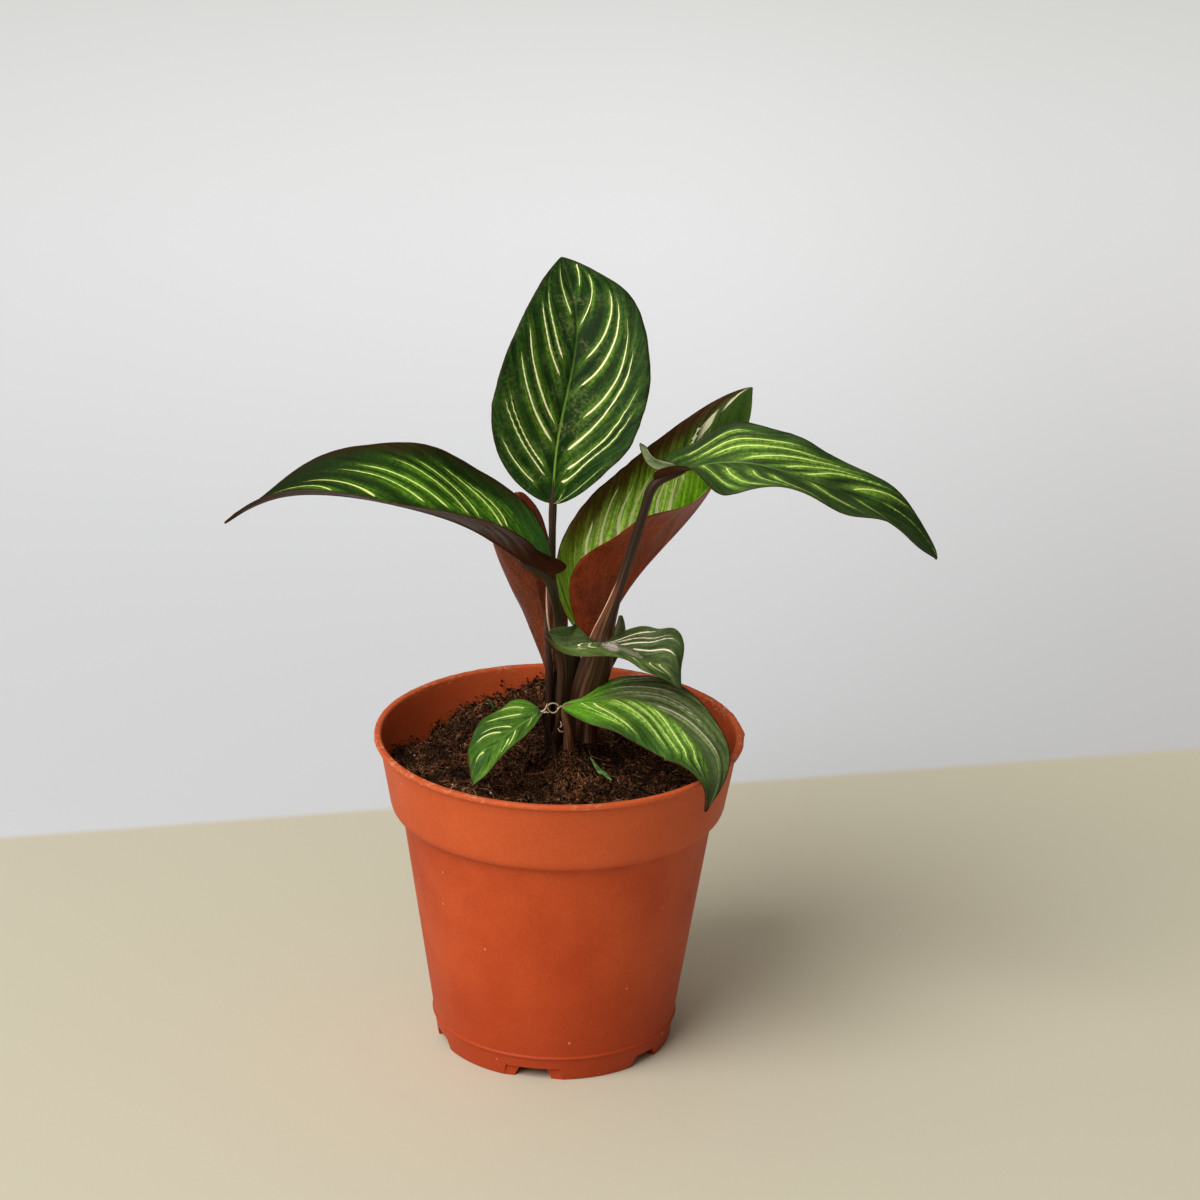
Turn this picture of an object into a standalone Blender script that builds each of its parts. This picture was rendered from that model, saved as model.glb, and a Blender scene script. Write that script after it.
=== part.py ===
"""A potted calathea: eight pin-striped leaves on sheathed stems, rooted in peat in a 108 mm nursery pot.

The frame is the pot's own: its axis is Z, the floor it stands on is z = 0, and -Y is the front.
Every size in the tables below is in millimetres.
"""

import math

import bpy
import numpy as np

MM = 0.001

# Pot: a moulded 4 inch nursery pot
RIM_RADIUS = 54.0
POT_HEIGHT = 96.0
FOOT_RADIUS = 34.9
WALL = 1.1
FLOOR_UNDERSIDE = 2.6
FLOOR_TOP = 4.4
PAD_RADIUS = 14.0
BODY_TAPER = 0.151
BAND_BOTTOM = 72.6
LIP_BOTTOM = 92.9
POT_SIDES = 60
NOTCHES = 6
FIRST_NOTCH = -9.4  # degrees from the front, towards +X
NOTCH_HEIGHT = 3.3
NOTCH_TOP_WIDTH = 7.6
NOTCH_FOOT_WIDTH = 10.7
RECESS_WIDTH = 18.0
RECESS_DEPTH = 1.2
DRAIN_RADIUS = 3.0
DRAIN_CIRCLE = 24.0

# Soil: peat that fills the pot to about 10 mm below the rim
GAP = 0.3
SOIL_LEVEL = 85.2
SOIL_SIDES = 36
SOIL_RINGS = 8
HEAPS = [  # centre x, centre y, height, spread
    (0.0, 51.0, 6.6, 22.0),
    (1.5, -2.5, 6.0, 9.5),
    (-24.0, -6.0, 1.6, 14.0),
    (30.0, 20.0, 1.8, 18.0),
]

# Leaves
BLADE_THICKNESS = 0.6
END_HALF_WIDTH = 0.8
LOBE_LIFT = 0.6  # rise of a basal lobe for each millimetre that it reaches back
BLADE_ROWS = 23
END_CROWDING = 0.4  # how much closer together the rows are at the base and the tip
BLADE_COLUMNS = 7
STEM_SIDES = 8
STEM_ROWS = 12


def clear_scene():
    for item in list(bpy.data.objects):
        bpy.data.objects.remove(item, do_unlink=True)


def material(name, colour, roughness):
    made = bpy.data.materials.new(name)
    made.use_nodes = True
    shader = made.node_tree.nodes["Principled BSDF"]
    shader.inputs["Base Color"].default_value = (*colour, 1.0)
    shader.inputs["Roughness"].default_value = roughness
    shader.inputs["Metallic"].default_value = 0.0
    return made


def add_object(name, points, faces, finish, smooth_angle=40):
    """A mesh object from points in millimetres."""
    mesh = bpy.data.meshes.new(name)
    mesh.from_pydata([tuple(float(v) * MM for v in p) for p in points], [], faces)
    mesh.validate()
    mesh.shade_smooth()
    mesh.set_sharp_from_angle(angle=math.radians(smooth_angle))
    mesh.materials.append(finish)
    made = bpy.data.objects.new(name, mesh)
    bpy.context.scene.collection.objects.link(made)
    return made


def as_cutter(cutter, target):
    """Cuts the shape of one object out of another, and keeps the cutter out of the render."""
    cutter.hide_render = True
    cutter.display_type = "WIRE"
    cut = target.modifiers.new("cut " + cutter.name, "BOOLEAN")
    cut.operation = "DIFFERENCE"
    cut.solver = "EXACT"
    cut.object = cutter


def turned(name, profile, sides, finish):
    """A closed solid turned round Z. The profile runs from the axis below, by the outside, to the axis."""
    rings = profile[1:-1]
    points = [(0, 0, profile[0][1])]
    for radius, height in rings:
        for k in range(sides):
            angle = 2 * math.pi * k / sides
            points.append((radius * math.cos(angle), radius * math.sin(angle), height))
    points.append((0, 0, profile[-1][1]))
    top = len(points) - 1
    faces = []
    for k in range(sides):
        following = (k + 1) % sides
        faces.append((0, 1 + following, 1 + k))
        for ring in range(len(rings) - 1):
            low = 1 + ring * sides
            high = low + sides
            faces.append((low + k, low + following, high + following, high + k))
        last = 1 + (len(rings) - 1) * sides
        faces.append((last + k, last + following, top))
    return add_object(name, points, faces, finish, 30)


def prism(name, outline, depth, finish):
    """A straight prism: the outline lies in X and Z, and it runs along Y over the two depths given."""
    near, far = depth
    count = len(outline)
    points = [(x, near, z) for x, z in outline] + [(x, far, z) for x, z in outline]
    faces = [tuple(range(count)), tuple(range(2 * count - 1, count - 1, -1))]
    for k in range(count):
        following = (k + 1) % count
        faces.append((k, k + count, following + count, following))
    return add_object(name, points, faces, finish)


# Smooth curves through a few points


def spline(knots, values, at):
    """A natural cubic spline through values at the knots, read at the places asked for."""
    knots = np.asarray(knots, float)
    values = np.asarray(values, float)
    flat = (-1,) + (1,) * (values.ndim - 1)
    gaps = np.diff(knots)
    slopes = np.diff(values, axis=0) / gaps.reshape(flat)
    matrix = np.eye(len(knots))
    bends = np.zeros_like(values)
    for k in range(1, len(knots) - 1):
        matrix[k, k - 1 : k + 2] = gaps[k - 1], 2 * (gaps[k - 1] + gaps[k]), gaps[k]
        bends[k] = 6 * (slopes[k] - slopes[k - 1])
    bends = np.linalg.solve(matrix, bends)
    at = np.asarray(at, float)
    span = np.clip(np.searchsorted(knots, at) - 1, 0, len(gaps) - 1)
    gap = gaps[span].reshape(flat)
    high = ((at - knots[span]) / gaps[span]).reshape(flat)
    low = 1 - high
    curve = (low**3 - low) * bends[span] + (high**3 - high) * bends[span + 1]
    return low * values[span] + high * values[span + 1] + curve * gap**2 / 6


def evenly(values, at):
    """A spline through values that are spaced evenly from 0 to 1."""
    return spline(np.linspace(0, 1, len(values)), values, at)


def along(points, at):
    """Points and unit directions at shares of the length of a smooth curve through the points."""
    points = np.asarray(points, float)
    steps = np.linalg.norm(np.diff(points, axis=0), axis=1)
    knots = np.append(0, np.cumsum(steps))
    fine = np.linspace(0, knots[-1], 241)
    dense = spline(knots, points, fine)
    length = np.append(0, np.cumsum(np.linalg.norm(np.diff(dense, axis=0), axis=1)))
    place = np.interp(np.asarray(at) * length[-1], length, fine)
    step = 0.002 * knots[-1]
    ahead = spline(knots, points, np.minimum(place + step, knots[-1]))
    behind = spline(knots, points, np.maximum(place - step, 0))
    return spline(knots, points, place), unit(ahead - behind)


def unit(vectors):
    return vectors / np.linalg.norm(vectors, axis=-1)[..., None]


# Pot


def pot_profile():
    """Radius and height round the pot's section, from its underside up the outside and down the inside."""
    body_foot = 8.0
    body_foot_radius = 36.1
    body_top_radius = body_foot_radius + BODY_TAPER * (BAND_BOTTOM - body_foot)
    inner_step = BAND_BOTTOM - 0.8
    underside = [
        (0, 0),
        (PAD_RADIUS, 0),
        (PAD_RADIUS + 1.4, FLOOR_UNDERSIDE),
        (30.6, FLOOR_UNDERSIDE),
        (32.3, 0),
        (FOOT_RADIUS, 0),
    ]
    outside = [
        (35.9, 7.0),
        (36.5, 7.2),
        (36.5, 7.6),
        (body_foot_radius, body_foot),
        (body_top_radius, BAND_BOTTOM),
        (46.9, 72.8),
        (48.2, 73.5),
        (48.9, 74.4),
        (49.3, 75.8),
        (52.1, 91.5),
        (52.4, 92.7),
    ]
    lip = [
        (53.4, LIP_BOTTOM),
        (RIM_RADIUS, 93.6),
        (RIM_RADIUS, POT_HEIGHT - 0.6),
        (53.4, POT_HEIGHT),
        (52.2, POT_HEIGHT),
        (51.5, POT_HEIGHT - 0.8),
    ]
    inside = [
        (51.0, 92.0),
        (49.3 - WALL, 76.2),
        (47.5, 75.0),
        (46.3, 74.2),
        (body_top_radius - WALL, inner_step),
        (body_foot_radius - WALL, body_foot),
        (34.3, 5.4),
        (33.0, FLOOR_TOP),
        (0, FLOOR_TOP),
    ]
    return underside + outside + lip + inside


def turn_about_axis(made, degrees):
    """Swings an object from the front of the pot towards +X."""
    made.rotation_euler = (0, 0, math.radians(degrees))


def make_pot(finish):
    pot = turned("pot", pot_profile(), POT_SIDES, finish)
    opening = [
        (-NOTCH_FOOT_WIDTH / 2, -1.0),
        (NOTCH_FOOT_WIDTH / 2, -1.0),
        (NOTCH_FOOT_WIDTH / 2, 0.6),
        (NOTCH_TOP_WIDTH / 2 + 0.3, NOTCH_HEIGHT - 0.5),
        (NOTCH_TOP_WIDTH / 2 - 0.6, NOTCH_HEIGHT),
        (-NOTCH_TOP_WIDTH / 2 + 0.6, NOTCH_HEIGHT),
        (-NOTCH_TOP_WIDTH / 2 - 0.3, NOTCH_HEIGHT - 0.5),
        (-NOTCH_FOOT_WIDTH / 2, 0.6),
    ]
    recess = [
        (-RECESS_WIDTH / 2, -1.0),
        (RECESS_WIDTH / 2, -1.0),
        (RECESS_WIDTH / 2 - 1.0, NOTCH_HEIGHT + 0.4),
        (-RECESS_WIDTH / 2 + 1.0, NOTCH_HEIGHT + 0.4),
    ]
    recess_floor = -(FOOT_RADIUS - RECESS_DEPTH)
    for k in range(NOTCHES):
        angle = FIRST_NOTCH + k * 360 / NOTCHES
        notch = prism(f"notch_cutter_{k}", opening, (-38.0, -30.9), finish)
        turn_about_axis(notch, angle)
        as_cutter(notch, pot)
        if k % 2 == 0:
            shallow = prism(f"recess_cutter_{k}", recess, (-38.0, recess_floor), finish)
            turn_about_axis(shallow, angle)
            as_cutter(shallow, pot)
        drain_profile = [(0, 1.0), (DRAIN_RADIUS, 1.0), (DRAIN_RADIUS, 6.0), (0, 6.0)]
        drain = turned(f"drain_cutter_{k}", drain_profile, 12, finish)
        turn = math.radians(angle + 180 / NOTCHES)
        drain.location = (
            DRAIN_CIRCLE * math.sin(turn) * MM,
            -DRAIN_CIRCLE * math.cos(turn) * MM,
            0,
        )
        as_cutter(drain, pot)
    return pot


# Soil


def soil_height(x, y):
    """Height of the peat's surface: heaps at the back wall and round the stems, and small clods."""
    height = SOIL_LEVEL
    for centre_x, centre_y, rise, spread in HEAPS:
        distance = math.hypot(x - centre_x, y - centre_y) / spread
        height += rise * math.exp(-distance * distance)
    clods = math.sin(0.41 * x + 1.3) * math.sin(0.37 * y - 0.4)
    crumbs = math.sin(0.9 * x + 0.5 * y) * math.cos(0.8 * y - 0.3 * x + 0.7)
    return height + 0.6 * clods + 0.35 * crumbs


def inner_radius(height):
    """Radius of the pot's inner wall above the step in it."""
    share = (height - 76.2) / (92.0 - 76.2)
    return 49.3 - WALL + share * (51.0 - 49.3 + WALL)


def make_soil(finish):
    lower_side = [
        (32.4, FLOOR_TOP + GAP),
        (34.6, 8.0),
        (44.1, 71.5),
        (46.5, 74.9),
        (47.7, 76.4),
    ]
    rows = []
    for radius, height in lower_side:
        row = []
        for k in range(SOIL_SIDES):
            angle = 2 * math.pi * k / SOIL_SIDES
            row.append((radius * math.cos(angle), radius * math.sin(angle), height))
        rows.append(row)
    edge = inner_radius(SOIL_LEVEL) - GAP - 0.1
    for ring in range(SOIL_RINGS, 0, -1):
        row = []
        for k in range(SOIL_SIDES):
            angle = 2 * math.pi * k / SOIL_SIDES
            radius = edge * ring / SOIL_RINGS
            x = radius * math.cos(angle)
            y = radius * math.sin(angle)
            row.append((x, y, soil_height(x, y)))
        rows.append(row)
    points = [(0, 0, FLOOR_TOP + GAP)]
    for row in rows:
        points += row
    points.append((0, 0, soil_height(0, 0)))
    top = len(points) - 1
    faces = []
    for k in range(SOIL_SIDES):
        following = (k + 1) % SOIL_SIDES
        faces.append((0, 1 + following, 1 + k))
        for ring in range(len(rows) - 1):
            low = 1 + ring * SOIL_SIDES
            high = low + SOIL_SIDES
            faces.append((low + k, low + following, high + following, high + k))
        last = 1 + (len(rows) - 1) * SOIL_SIDES
        faces.append((last + k, last + following, top))
    return add_object("soil", points, faces, finish, 60)


# Leaves. spine: the midrib from the blade's base to its tip. face: where the upper side looks, at even
# places along it. half: widest half widths, left and right of the midrib with the tip up. shape: how
# round the base and how long the tip. fold and curl: degrees that each half rises from flat at the
# midrib, and turns further on its way to the margin. wave: height, count and start of the margin's
# ripples. lobe: how far the margin reaches back past the base, and over what share of the blade.
# notch: share of the width lost, or gained where it is negative, where, and over what share.

LEAVES = {
    "leaf_top": {
        "spine": [
            (-3, 4, 165.5), (-2, 7, 182), (1, 10, 199), (3, 17, 215), (1, 27, 223.5), (-2, 37, 229.5),
        ],
        "face": [(-0.25, -1, 0.16), (0, -1, 0.3), (-0.07, -0.5, 1)],
        "half": (20.5, 23.5),
        "shape": (0.65, 0.95),
        "fold": ([6, 20, 13], [36, 18, 7]),
        "wave": ((0, 3, 0), (0.3, 3, 0.08)),
    },
    "leaf_left": {
        "spine": [
            (-3, -8, 147.5), (-10, -9, 152), (-24, -11, 162), (-44, -14, 170), (-67, -13, 173),
            (-82, -12, 171), (-96, -12, 163.5),
        ],
        "face": [(0.33, 0, 1), (-0.08, -0.05, 1), (-0.14, 0.25, 1)],
        "half": (19.5, 20.5),
        "shape": (0.63, 1.1),
        "fold": ([47, 27, 23, 14], [48, 34, 45, 6]),
        "wave": ((0.2, 3, 0.2), (1.1, 3, 0)),
        "lobe": ((4.5, 0.12), (0, 0.12)),
    },
    "leaf_back_right": {
        "spine": [(10, 7, 121), (21, 16, 138), (40, 22, 160), (49, 26, 177), (54, 28, 194)],
        "face": [(-0.88, -0.19, 0.5), (-0.65, -0.46, 0.48), (-0.69, -0.48, 0.48)],
        "half": (27, 28),
        "shape": (0.56, 0.79),
        "fold": ([66, 75, 47], [77, 55, 25]),
        "wave": ((0, 3, 0), (-1.6, 3, 0.4)),
    },
    "leaf_right": {
        "spine": [
            (26, -10, 178), (38, -9.5, 182.5), (53, -12, 184.5), (68, -15, 181.5), (84, -14, 175),
            (107, -12, 157),
        ],
        "face": [(-0.38, -0.18, 1), (-0.16, -0.22, 1), (0.32, -0.17, 1)],
        "half": (13.5, 15),
        "shape": (0.4, 0.62),
        "fold": ([76, 0, 19, 17, 13, 16, 20, 16, 16], [56, 28, 6, 10, 15, 12, 14, 17, 15]),
        "wave": ((1.3, 3, -0.17), (1.8, 3, -0.05)),
        "lobe": ((2.8, 0.1), (1.5, 0.12)),
        "notch": ((-0.6, 0.03, 0.03), (0, 0.5, 0.1)),
    },
    "leaf_back_left": {
        "spine": [(-1, 6, 107), (-4, 10, 125), (-9, 16, 143), (-13.5, 24, 161.5)],
        "face": [(0.3, 1, 0), (0.21, 1, -0.2), (0, 1, -0.3)],
        "half": (9, 15),
        "shape": (0.82, 0.34),
        "fold": ([10, 10, 10], [11, 14, 7]),
        "curl": ([60, 60, 60], [60, 60, 58]),
    },
    "leaf_middle": {
        "spine": [
            (-4, -12, 131.5), (2, -14, 128), (10, -14.5, 129.5), (25, -15, 125), (31, -17, 124),
            (35, -17, 117.5),
        ],
        "face": [(0, 0, 1), (-0.08, 0.05, 1), (0.26, -0.19, 1)],
        "half": (15.3, 12),
        "shape": (0.57, 0.9),
        "fold": ([46, 17, 17, 28, 18], [23, 4, 8, -12]),
        "wave": ((1.4, 2, -0.05), (0.6, 2, -0.05)),
        "notch": ((0.77, 0.43, 0.1), (0, 0.5, 0.1)),
    },
    "leaf_low_right": {
        "spine": [
            (3, -9.4, 106.5), (14, -14.4, 113), (28, -18.5, 112), (39.5, -26, 104), (43, -35, 100),
            (42.5, -43, 90.5),
        ],
        "face": [(0, 0, 1), (-0.04, -0.24, 1), (0.78, -0.5, 0.57)],
        "half": (12.5, 14),
        "shape": (0.52, 1.02),
        "fold": ([3, 2, 10], [0, -12, 12]),
        "wave": ((0.4, 3, -0.08), (-0.6, 3, 0)),
        "notch": ((0.6, 0.07, 0.12), (0, 0.5, 0.1)),
    },
    "leaf_low_left": {
        "spine": [(-5, -10, 106), (-10.5, -14, 104), (-17, -20, 101), (-24, -30, 92.5)],
        "face": [(0, -0.08, 1), (-0.16, -0.23, 1), (-0.32, -0.49, 0.8)],
        "half": (6, 9.2),
        "shape": (0.46, 0.93),
        "fold": ([9, 9, 15], [14, 7, 13]),
        "wave": ((0, 3, 0), (0.7, 3, -0.05)),
    },
}

# Stems. path: from just under the blade to the root end in the soil. radii: half widths at even
# places along it. depth: how deep it is as a share of its width, where a sheath is flattened.
STEMS = {
    "leaf_top": {
        "path": [(-3, 4.2, 165), (-3, 4.6, 145), (-3.5, 3.6, 132), (-3.2, 3, 115), (-3.3, 3, 78)],
        "radii": (1.05, 1.1, 1.2, 1.3),
    },
    "leaf_left": {
        "path": [
            (-2.95, -8, 146.8), (-1.5, -6.2, 141.5), (0.3, -3.5, 134), (1.6, -1.5, 122), (1.4, -0.5, 108),
            (0, -0.5, 92), (0, -0.5, 78),
        ],
        "radii": (1.3, 1.6, 2.2, 2.3),
    },
    "leaf_back_right": {
        "path": [(9.7, 6.9, 120.4), (8.2, 6, 112), (6.5, 4.8, 102), (5.2, 4.8, 90), (5, 4.8, 78)],
        "radii": (1.6, 2, 2, 2),
    },
    "leaf_right": {
        "path": [
            (25.8, -9.9, 177.4), (23, -10, 163), (19.5, -9.3, 150), (16, -7.6, 137), (12, -4.4, 121),
            (9, -1.8, 107), (6.8, -0.2, 93), (6.4, -0.2, 78),
        ],
        "radii": (1.1, 1.35, 1.9, 4.2, 4.2, 3.2),
        "depth": 0.6,
    },
    "leaf_back_left": {
        "path": [(-0.9, 6.1, 106.3), (-0.2, 6, 98), (0.4, 5.6, 90), (0.4, 5.6, 78)],
        "radii": (1.9, 2, 2),
    },
    "leaf_middle": {
        "path": [
            (-3.9, -11.5, 130.4), (-3, -8, 120), (-2.2, -6, 107), (-2.6, -5.2, 92), (-2.7, -5.2, 79),
        ],
        "radii": (0.9, 1, 1),
    },
    "leaf_low_right": {
        "path": [(3.5, -9.2, 105.8), (4, -7.8, 101), (3.6, -6.6, 94), (3.2, -6.6, 79)],
        "radii": (1.1, 1.2, 1.2),
    },
    "leaf_low_left": {
        "path": [
            (-4.8, -9.9, 105.4), (-3.4, -9.5, 101.5), (-1.6, -9.2, 97), (-0.6, -9.2, 90), (-0.4, -9.2, 79),
        ],
        "radii": (0.7, 0.75, 0.8),
    },
}

NO_CURL = ([0, 0], [0, 0])
NO_WAVE = ((0, 1, 0), (0, 1, 0))
NO_LOBE = ((0, 0.1), (0, 0.1))
NO_NOTCH = ((0, 0.5, 0.1), (0, 0.5, 0.1))


def leaf_surface(leaf, share, reach):
    """The middle surface of a blade: rows at shares of the midrib, columns from -1 (left margin) to 1."""
    mid, ahead = along(leaf["spine"], share)
    facing = evenly(leaf["face"], share)
    up = unit(facing - (facing * ahead).sum(axis=1)[:, None] * ahead)
    right = np.cross(ahead, up)
    base, tip = leaf["shape"]
    widest = base / (base + tip)
    form = share**base * (1 - share) ** tip / (widest**base * (1 - widest) ** tip)
    points = np.empty((len(share), len(reach), 3))
    for column, place in enumerate(reach):
        side = int(place >= 0)
        sign = 1 if side else -1
        out = abs(place)
        lost, where, spread = leaf.get("notch", NO_NOTCH)[side]
        width = leaf["half"][side] * form + END_HALF_WIDTH
        width = width * (1 - lost * np.exp(-(((share - where) / spread) ** 2)))
        fold = np.radians(evenly(leaf["fold"][side], share))
        curl = np.radians(evenly(leaf.get("curl", NO_CURL)[side], share))
        curl = np.where(abs(curl) < 1e-6, 1e-6, curl)
        tilt = fold + curl * out
        across = (np.sin(tilt) - np.sin(fold)) / curl * width
        rise = (np.cos(fold) - np.cos(tilt)) / curl * width
        height, count, start = leaf.get("wave", NO_WAVE)[side]
        ripple = height * out**2 * np.sin(2 * np.pi * (count * share + start)) * np.sin(np.pi * share)
        across = across - np.sin(tilt) * ripple
        rise = rise + np.cos(tilt) * ripple
        lobe, lobe_share = leaf.get("lobe", NO_LOBE)[side]
        through = np.clip(share / lobe_share, 0, 1)
        back = lobe * out * (27 / 4) * through * (1 - through) ** 2  # 1 where a third of the way through
        rise = rise + LOBE_LIFT * back
        sideways = (sign * across)[:, None] * right
        points[:, column] = mid + sideways + rise[:, None] * up - back[:, None] * ahead
    return points


def make_blade(name, leaf, finish):
    even = np.linspace(0, 1, BLADE_ROWS)
    share = even - END_CROWDING * np.sin(2 * np.pi * even) / (2 * np.pi)
    reach = np.linspace(-1, 1, BLADE_COLUMNS)
    middle = leaf_surface(leaf, share, reach)
    outward = unit(np.cross(np.gradient(middle, axis=1), np.gradient(middle, axis=0)))
    offset = outward * BLADE_THICKNESS / 2
    upper = (middle + offset).reshape(-1, 3)
    lower = (middle - offset).reshape(-1, 3)
    below = len(upper)
    corner = np.arange(below).reshape(BLADE_ROWS, BLADE_COLUMNS)
    faces = []
    for row in range(BLADE_ROWS - 1):
        for column in range(BLADE_COLUMNS - 1):
            a = int(corner[row, column])
            b = int(corner[row, column + 1])
            c = int(corner[row + 1, column + 1])
            d = int(corner[row + 1, column])
            for one, two, three in ((a, b, c), (a, c, d)):
                faces.append((one, two, three))
                faces.append((three + below, two + below, one + below))
    rim = list(corner[0, :-1]) + list(corner[:-1, -1]) + list(corner[-1, :0:-1]) + list(corner[:0:-1, 0])
    for k, here in enumerate(rim):
        here = int(here)
        following = int(rim[(k + 1) % len(rim)])
        faces.append((following, here, here + below, following + below))
    return add_object(name, np.concatenate([upper, lower]), faces, finish, 60)


def stem_rings(path, stem, grown):
    """Points of a stem, ring by ring from its top end, each ring oval and square to the path."""
    share = np.linspace(0, 1, STEM_ROWS)
    middle, ahead = along(path, share)
    radius = evenly(stem["radii"], share)
    depth = radius * stem.get("depth", 1.0)
    wide = unit(np.array([1.0, 0.0, 0.0]) - ahead[:, :1] * ahead)
    deep = np.cross(ahead, wide)
    rings = []
    for row in range(STEM_ROWS):
        for k in range(STEM_SIDES):
            angle = 2 * math.pi * k / STEM_SIDES
            sideways = (radius[row] + grown) * math.cos(angle) * wide[row]
            inward = (depth[row] + grown) * math.sin(angle) * deep[row]
            rings.append(middle[row] + sideways + inward)
    return rings


def make_stem(name, stem, finish, grown=0.0):
    """A stem, or with grown set the cutter for its hole, which is larger all round and deeper."""
    path = list(stem["path"])
    x, y, z = path[-1]
    path[-1] = (x, y, z - grown)
    points = stem_rings(path, stem, grown)
    faces = [tuple(range(STEM_SIDES))[::-1]]
    for row in range(STEM_ROWS - 1):
        for k in range(STEM_SIDES):
            here = row * STEM_SIDES + k
            following = row * STEM_SIDES + (k + 1) % STEM_SIDES
            faces.append((here, following, following + STEM_SIDES, here + STEM_SIDES))
    last = (STEM_ROWS - 1) * STEM_SIDES
    faces.append(tuple(range(last, last + STEM_SIDES)))
    return add_object(name, points, faces, finish)


def make_plant(green, wine, soil):
    for name, leaf in LEAVES.items():
        make_blade(name + "_blade", leaf, green)
        make_stem(name + "_stem", STEMS[name], wine)
        hole = make_stem(name + "_hole_cutter", STEMS[name], wine, GAP)
        as_cutter(hole, soil)


# A dried bract curled into a ring where the two lowest leaves branch, and a scrap of leaf on the soil

RING_CENTRE = (-1.6, -10.2, 106.2)
RING_RADIUS = 1.5
RING_THICKNESS = 0.35
SCRAP_ENDS = ((9.5, -7.8), (15.8, -13.8))
SCRAP_WIDTH = 1.6
SCRAP_THICKNESS = 0.7


def make_ring(finish):
    turns, sides = 20, 6
    points = []
    for k in range(turns):
        around = 2 * math.pi * k / turns
        for j in range(sides):
            over = 2 * math.pi * j / sides
            radius = RING_RADIUS + RING_THICKNESS * math.cos(over)
            points.append((
                RING_CENTRE[0] + radius * math.cos(around),
                RING_CENTRE[1] + RING_THICKNESS * math.sin(over),
                RING_CENTRE[2] + radius * math.sin(around),
            ))
    faces = []
    for k in range(turns):
        for j in range(sides):
            a = k * sides + j
            b = k * sides + (j + 1) % sides
            c = (k + 1) % turns * sides + (j + 1) % sides
            d = (k + 1) % turns * sides + j
            faces.append((a, b, c, d))
    return add_object("bract_curl", points, faces, finish)


def make_scrap(finish):
    """A torn strip of leaf that lies along the soil, its underside just clear of the clods."""
    start = np.array(SCRAP_ENDS[0])
    end = np.array(SCRAP_ENDS[1])
    across = np.array([start[1] - end[1], end[0] - start[0]])
    across = across / np.linalg.norm(across) * SCRAP_WIDTH / 2
    rows = 5
    points = []
    for row in range(rows):
        share = row / (rows - 1)
        middle = start + (end - start) * share
        taper = 0.45 + 0.55 * math.sin(math.pi * share)
        for side in (-1, 1):
            x, y = middle + side * taper * across
            seat = max(soil_height(x, y), soil_height(*middle)) + 0.5
            points.append((x, y, seat))
            points.append((x, y, seat + SCRAP_THICKNESS))
    faces = [(0, 1, 3, 2)]
    for row in range(rows - 1):
        low = 4 * row
        faces.append((low, low + 4, low + 5, low + 1))
        faces.append((low + 1, low + 5, low + 7, low + 3))
        faces.append((low + 3, low + 7, low + 6, low + 2))
        faces.append((low + 2, low + 6, low + 4, low))
    last = 4 * (rows - 1)
    faces.append((last, last + 2, last + 3, last + 1))
    return add_object("leaf_scrap", points, faces, finish)


clear_scene()
clay = material("terracotta plastic", (0.58, 0.13, 0.05), 0.5)
peat = material("dark peat", (0.03, 0.016, 0.01), 0.95)
leaf_green = material("leaf green", (0.05, 0.16, 0.03), 0.4)
stem_wine = material("stem wine brown", (0.06, 0.025, 0.015), 0.45)
dried = material("dried bract", (0.35, 0.3, 0.2), 0.7)

make_pot(clay)
soil_body = make_soil(peat)
make_plant(leaf_green, stem_wine, soil_body)
make_ring(dried)
make_scrap(leaf_green)
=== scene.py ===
"""Looks of the potted calathea: pin-striped leaves on wine-dark stems, in peat, in a terracotta pot.

The pot's axis is Z, the floor is z = 0 and -Y is the front. Sizes are in millimetres, as in a
grower's catalogue, and colours are red, green and blue from 0 to 255.
"""

import math

import bpy
import numpy as np
from mathutils import Matrix, Vector, noise


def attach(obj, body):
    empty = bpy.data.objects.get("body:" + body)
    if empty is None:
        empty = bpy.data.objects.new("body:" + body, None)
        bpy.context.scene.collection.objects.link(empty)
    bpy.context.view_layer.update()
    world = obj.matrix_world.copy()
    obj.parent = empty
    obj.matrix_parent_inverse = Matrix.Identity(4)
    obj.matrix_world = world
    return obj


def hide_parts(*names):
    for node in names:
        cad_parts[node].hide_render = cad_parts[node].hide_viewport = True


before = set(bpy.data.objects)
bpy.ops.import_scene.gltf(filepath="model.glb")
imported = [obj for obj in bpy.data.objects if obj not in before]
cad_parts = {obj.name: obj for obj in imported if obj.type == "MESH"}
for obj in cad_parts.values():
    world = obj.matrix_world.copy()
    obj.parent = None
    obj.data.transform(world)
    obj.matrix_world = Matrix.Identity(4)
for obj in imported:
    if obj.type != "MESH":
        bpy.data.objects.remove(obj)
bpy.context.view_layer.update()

MM = 0.001


# Camera
# It stands in front of the pot, well above the rim, and looks down on the plant.
# A long lens keeps the pot's sides nearly straight, and the frame hangs slightly askew.

CAMERA_TARGET = (11.23, 0.0, 137.61)
CAMERA_DISTANCE = 1200.0
CAMERA_PITCH = math.radians(21.08)
CAMERA_ROLL = math.radians(1.2)
CAMERA_LENS = 124.5
FILM_WIDTH = 36.0

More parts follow.
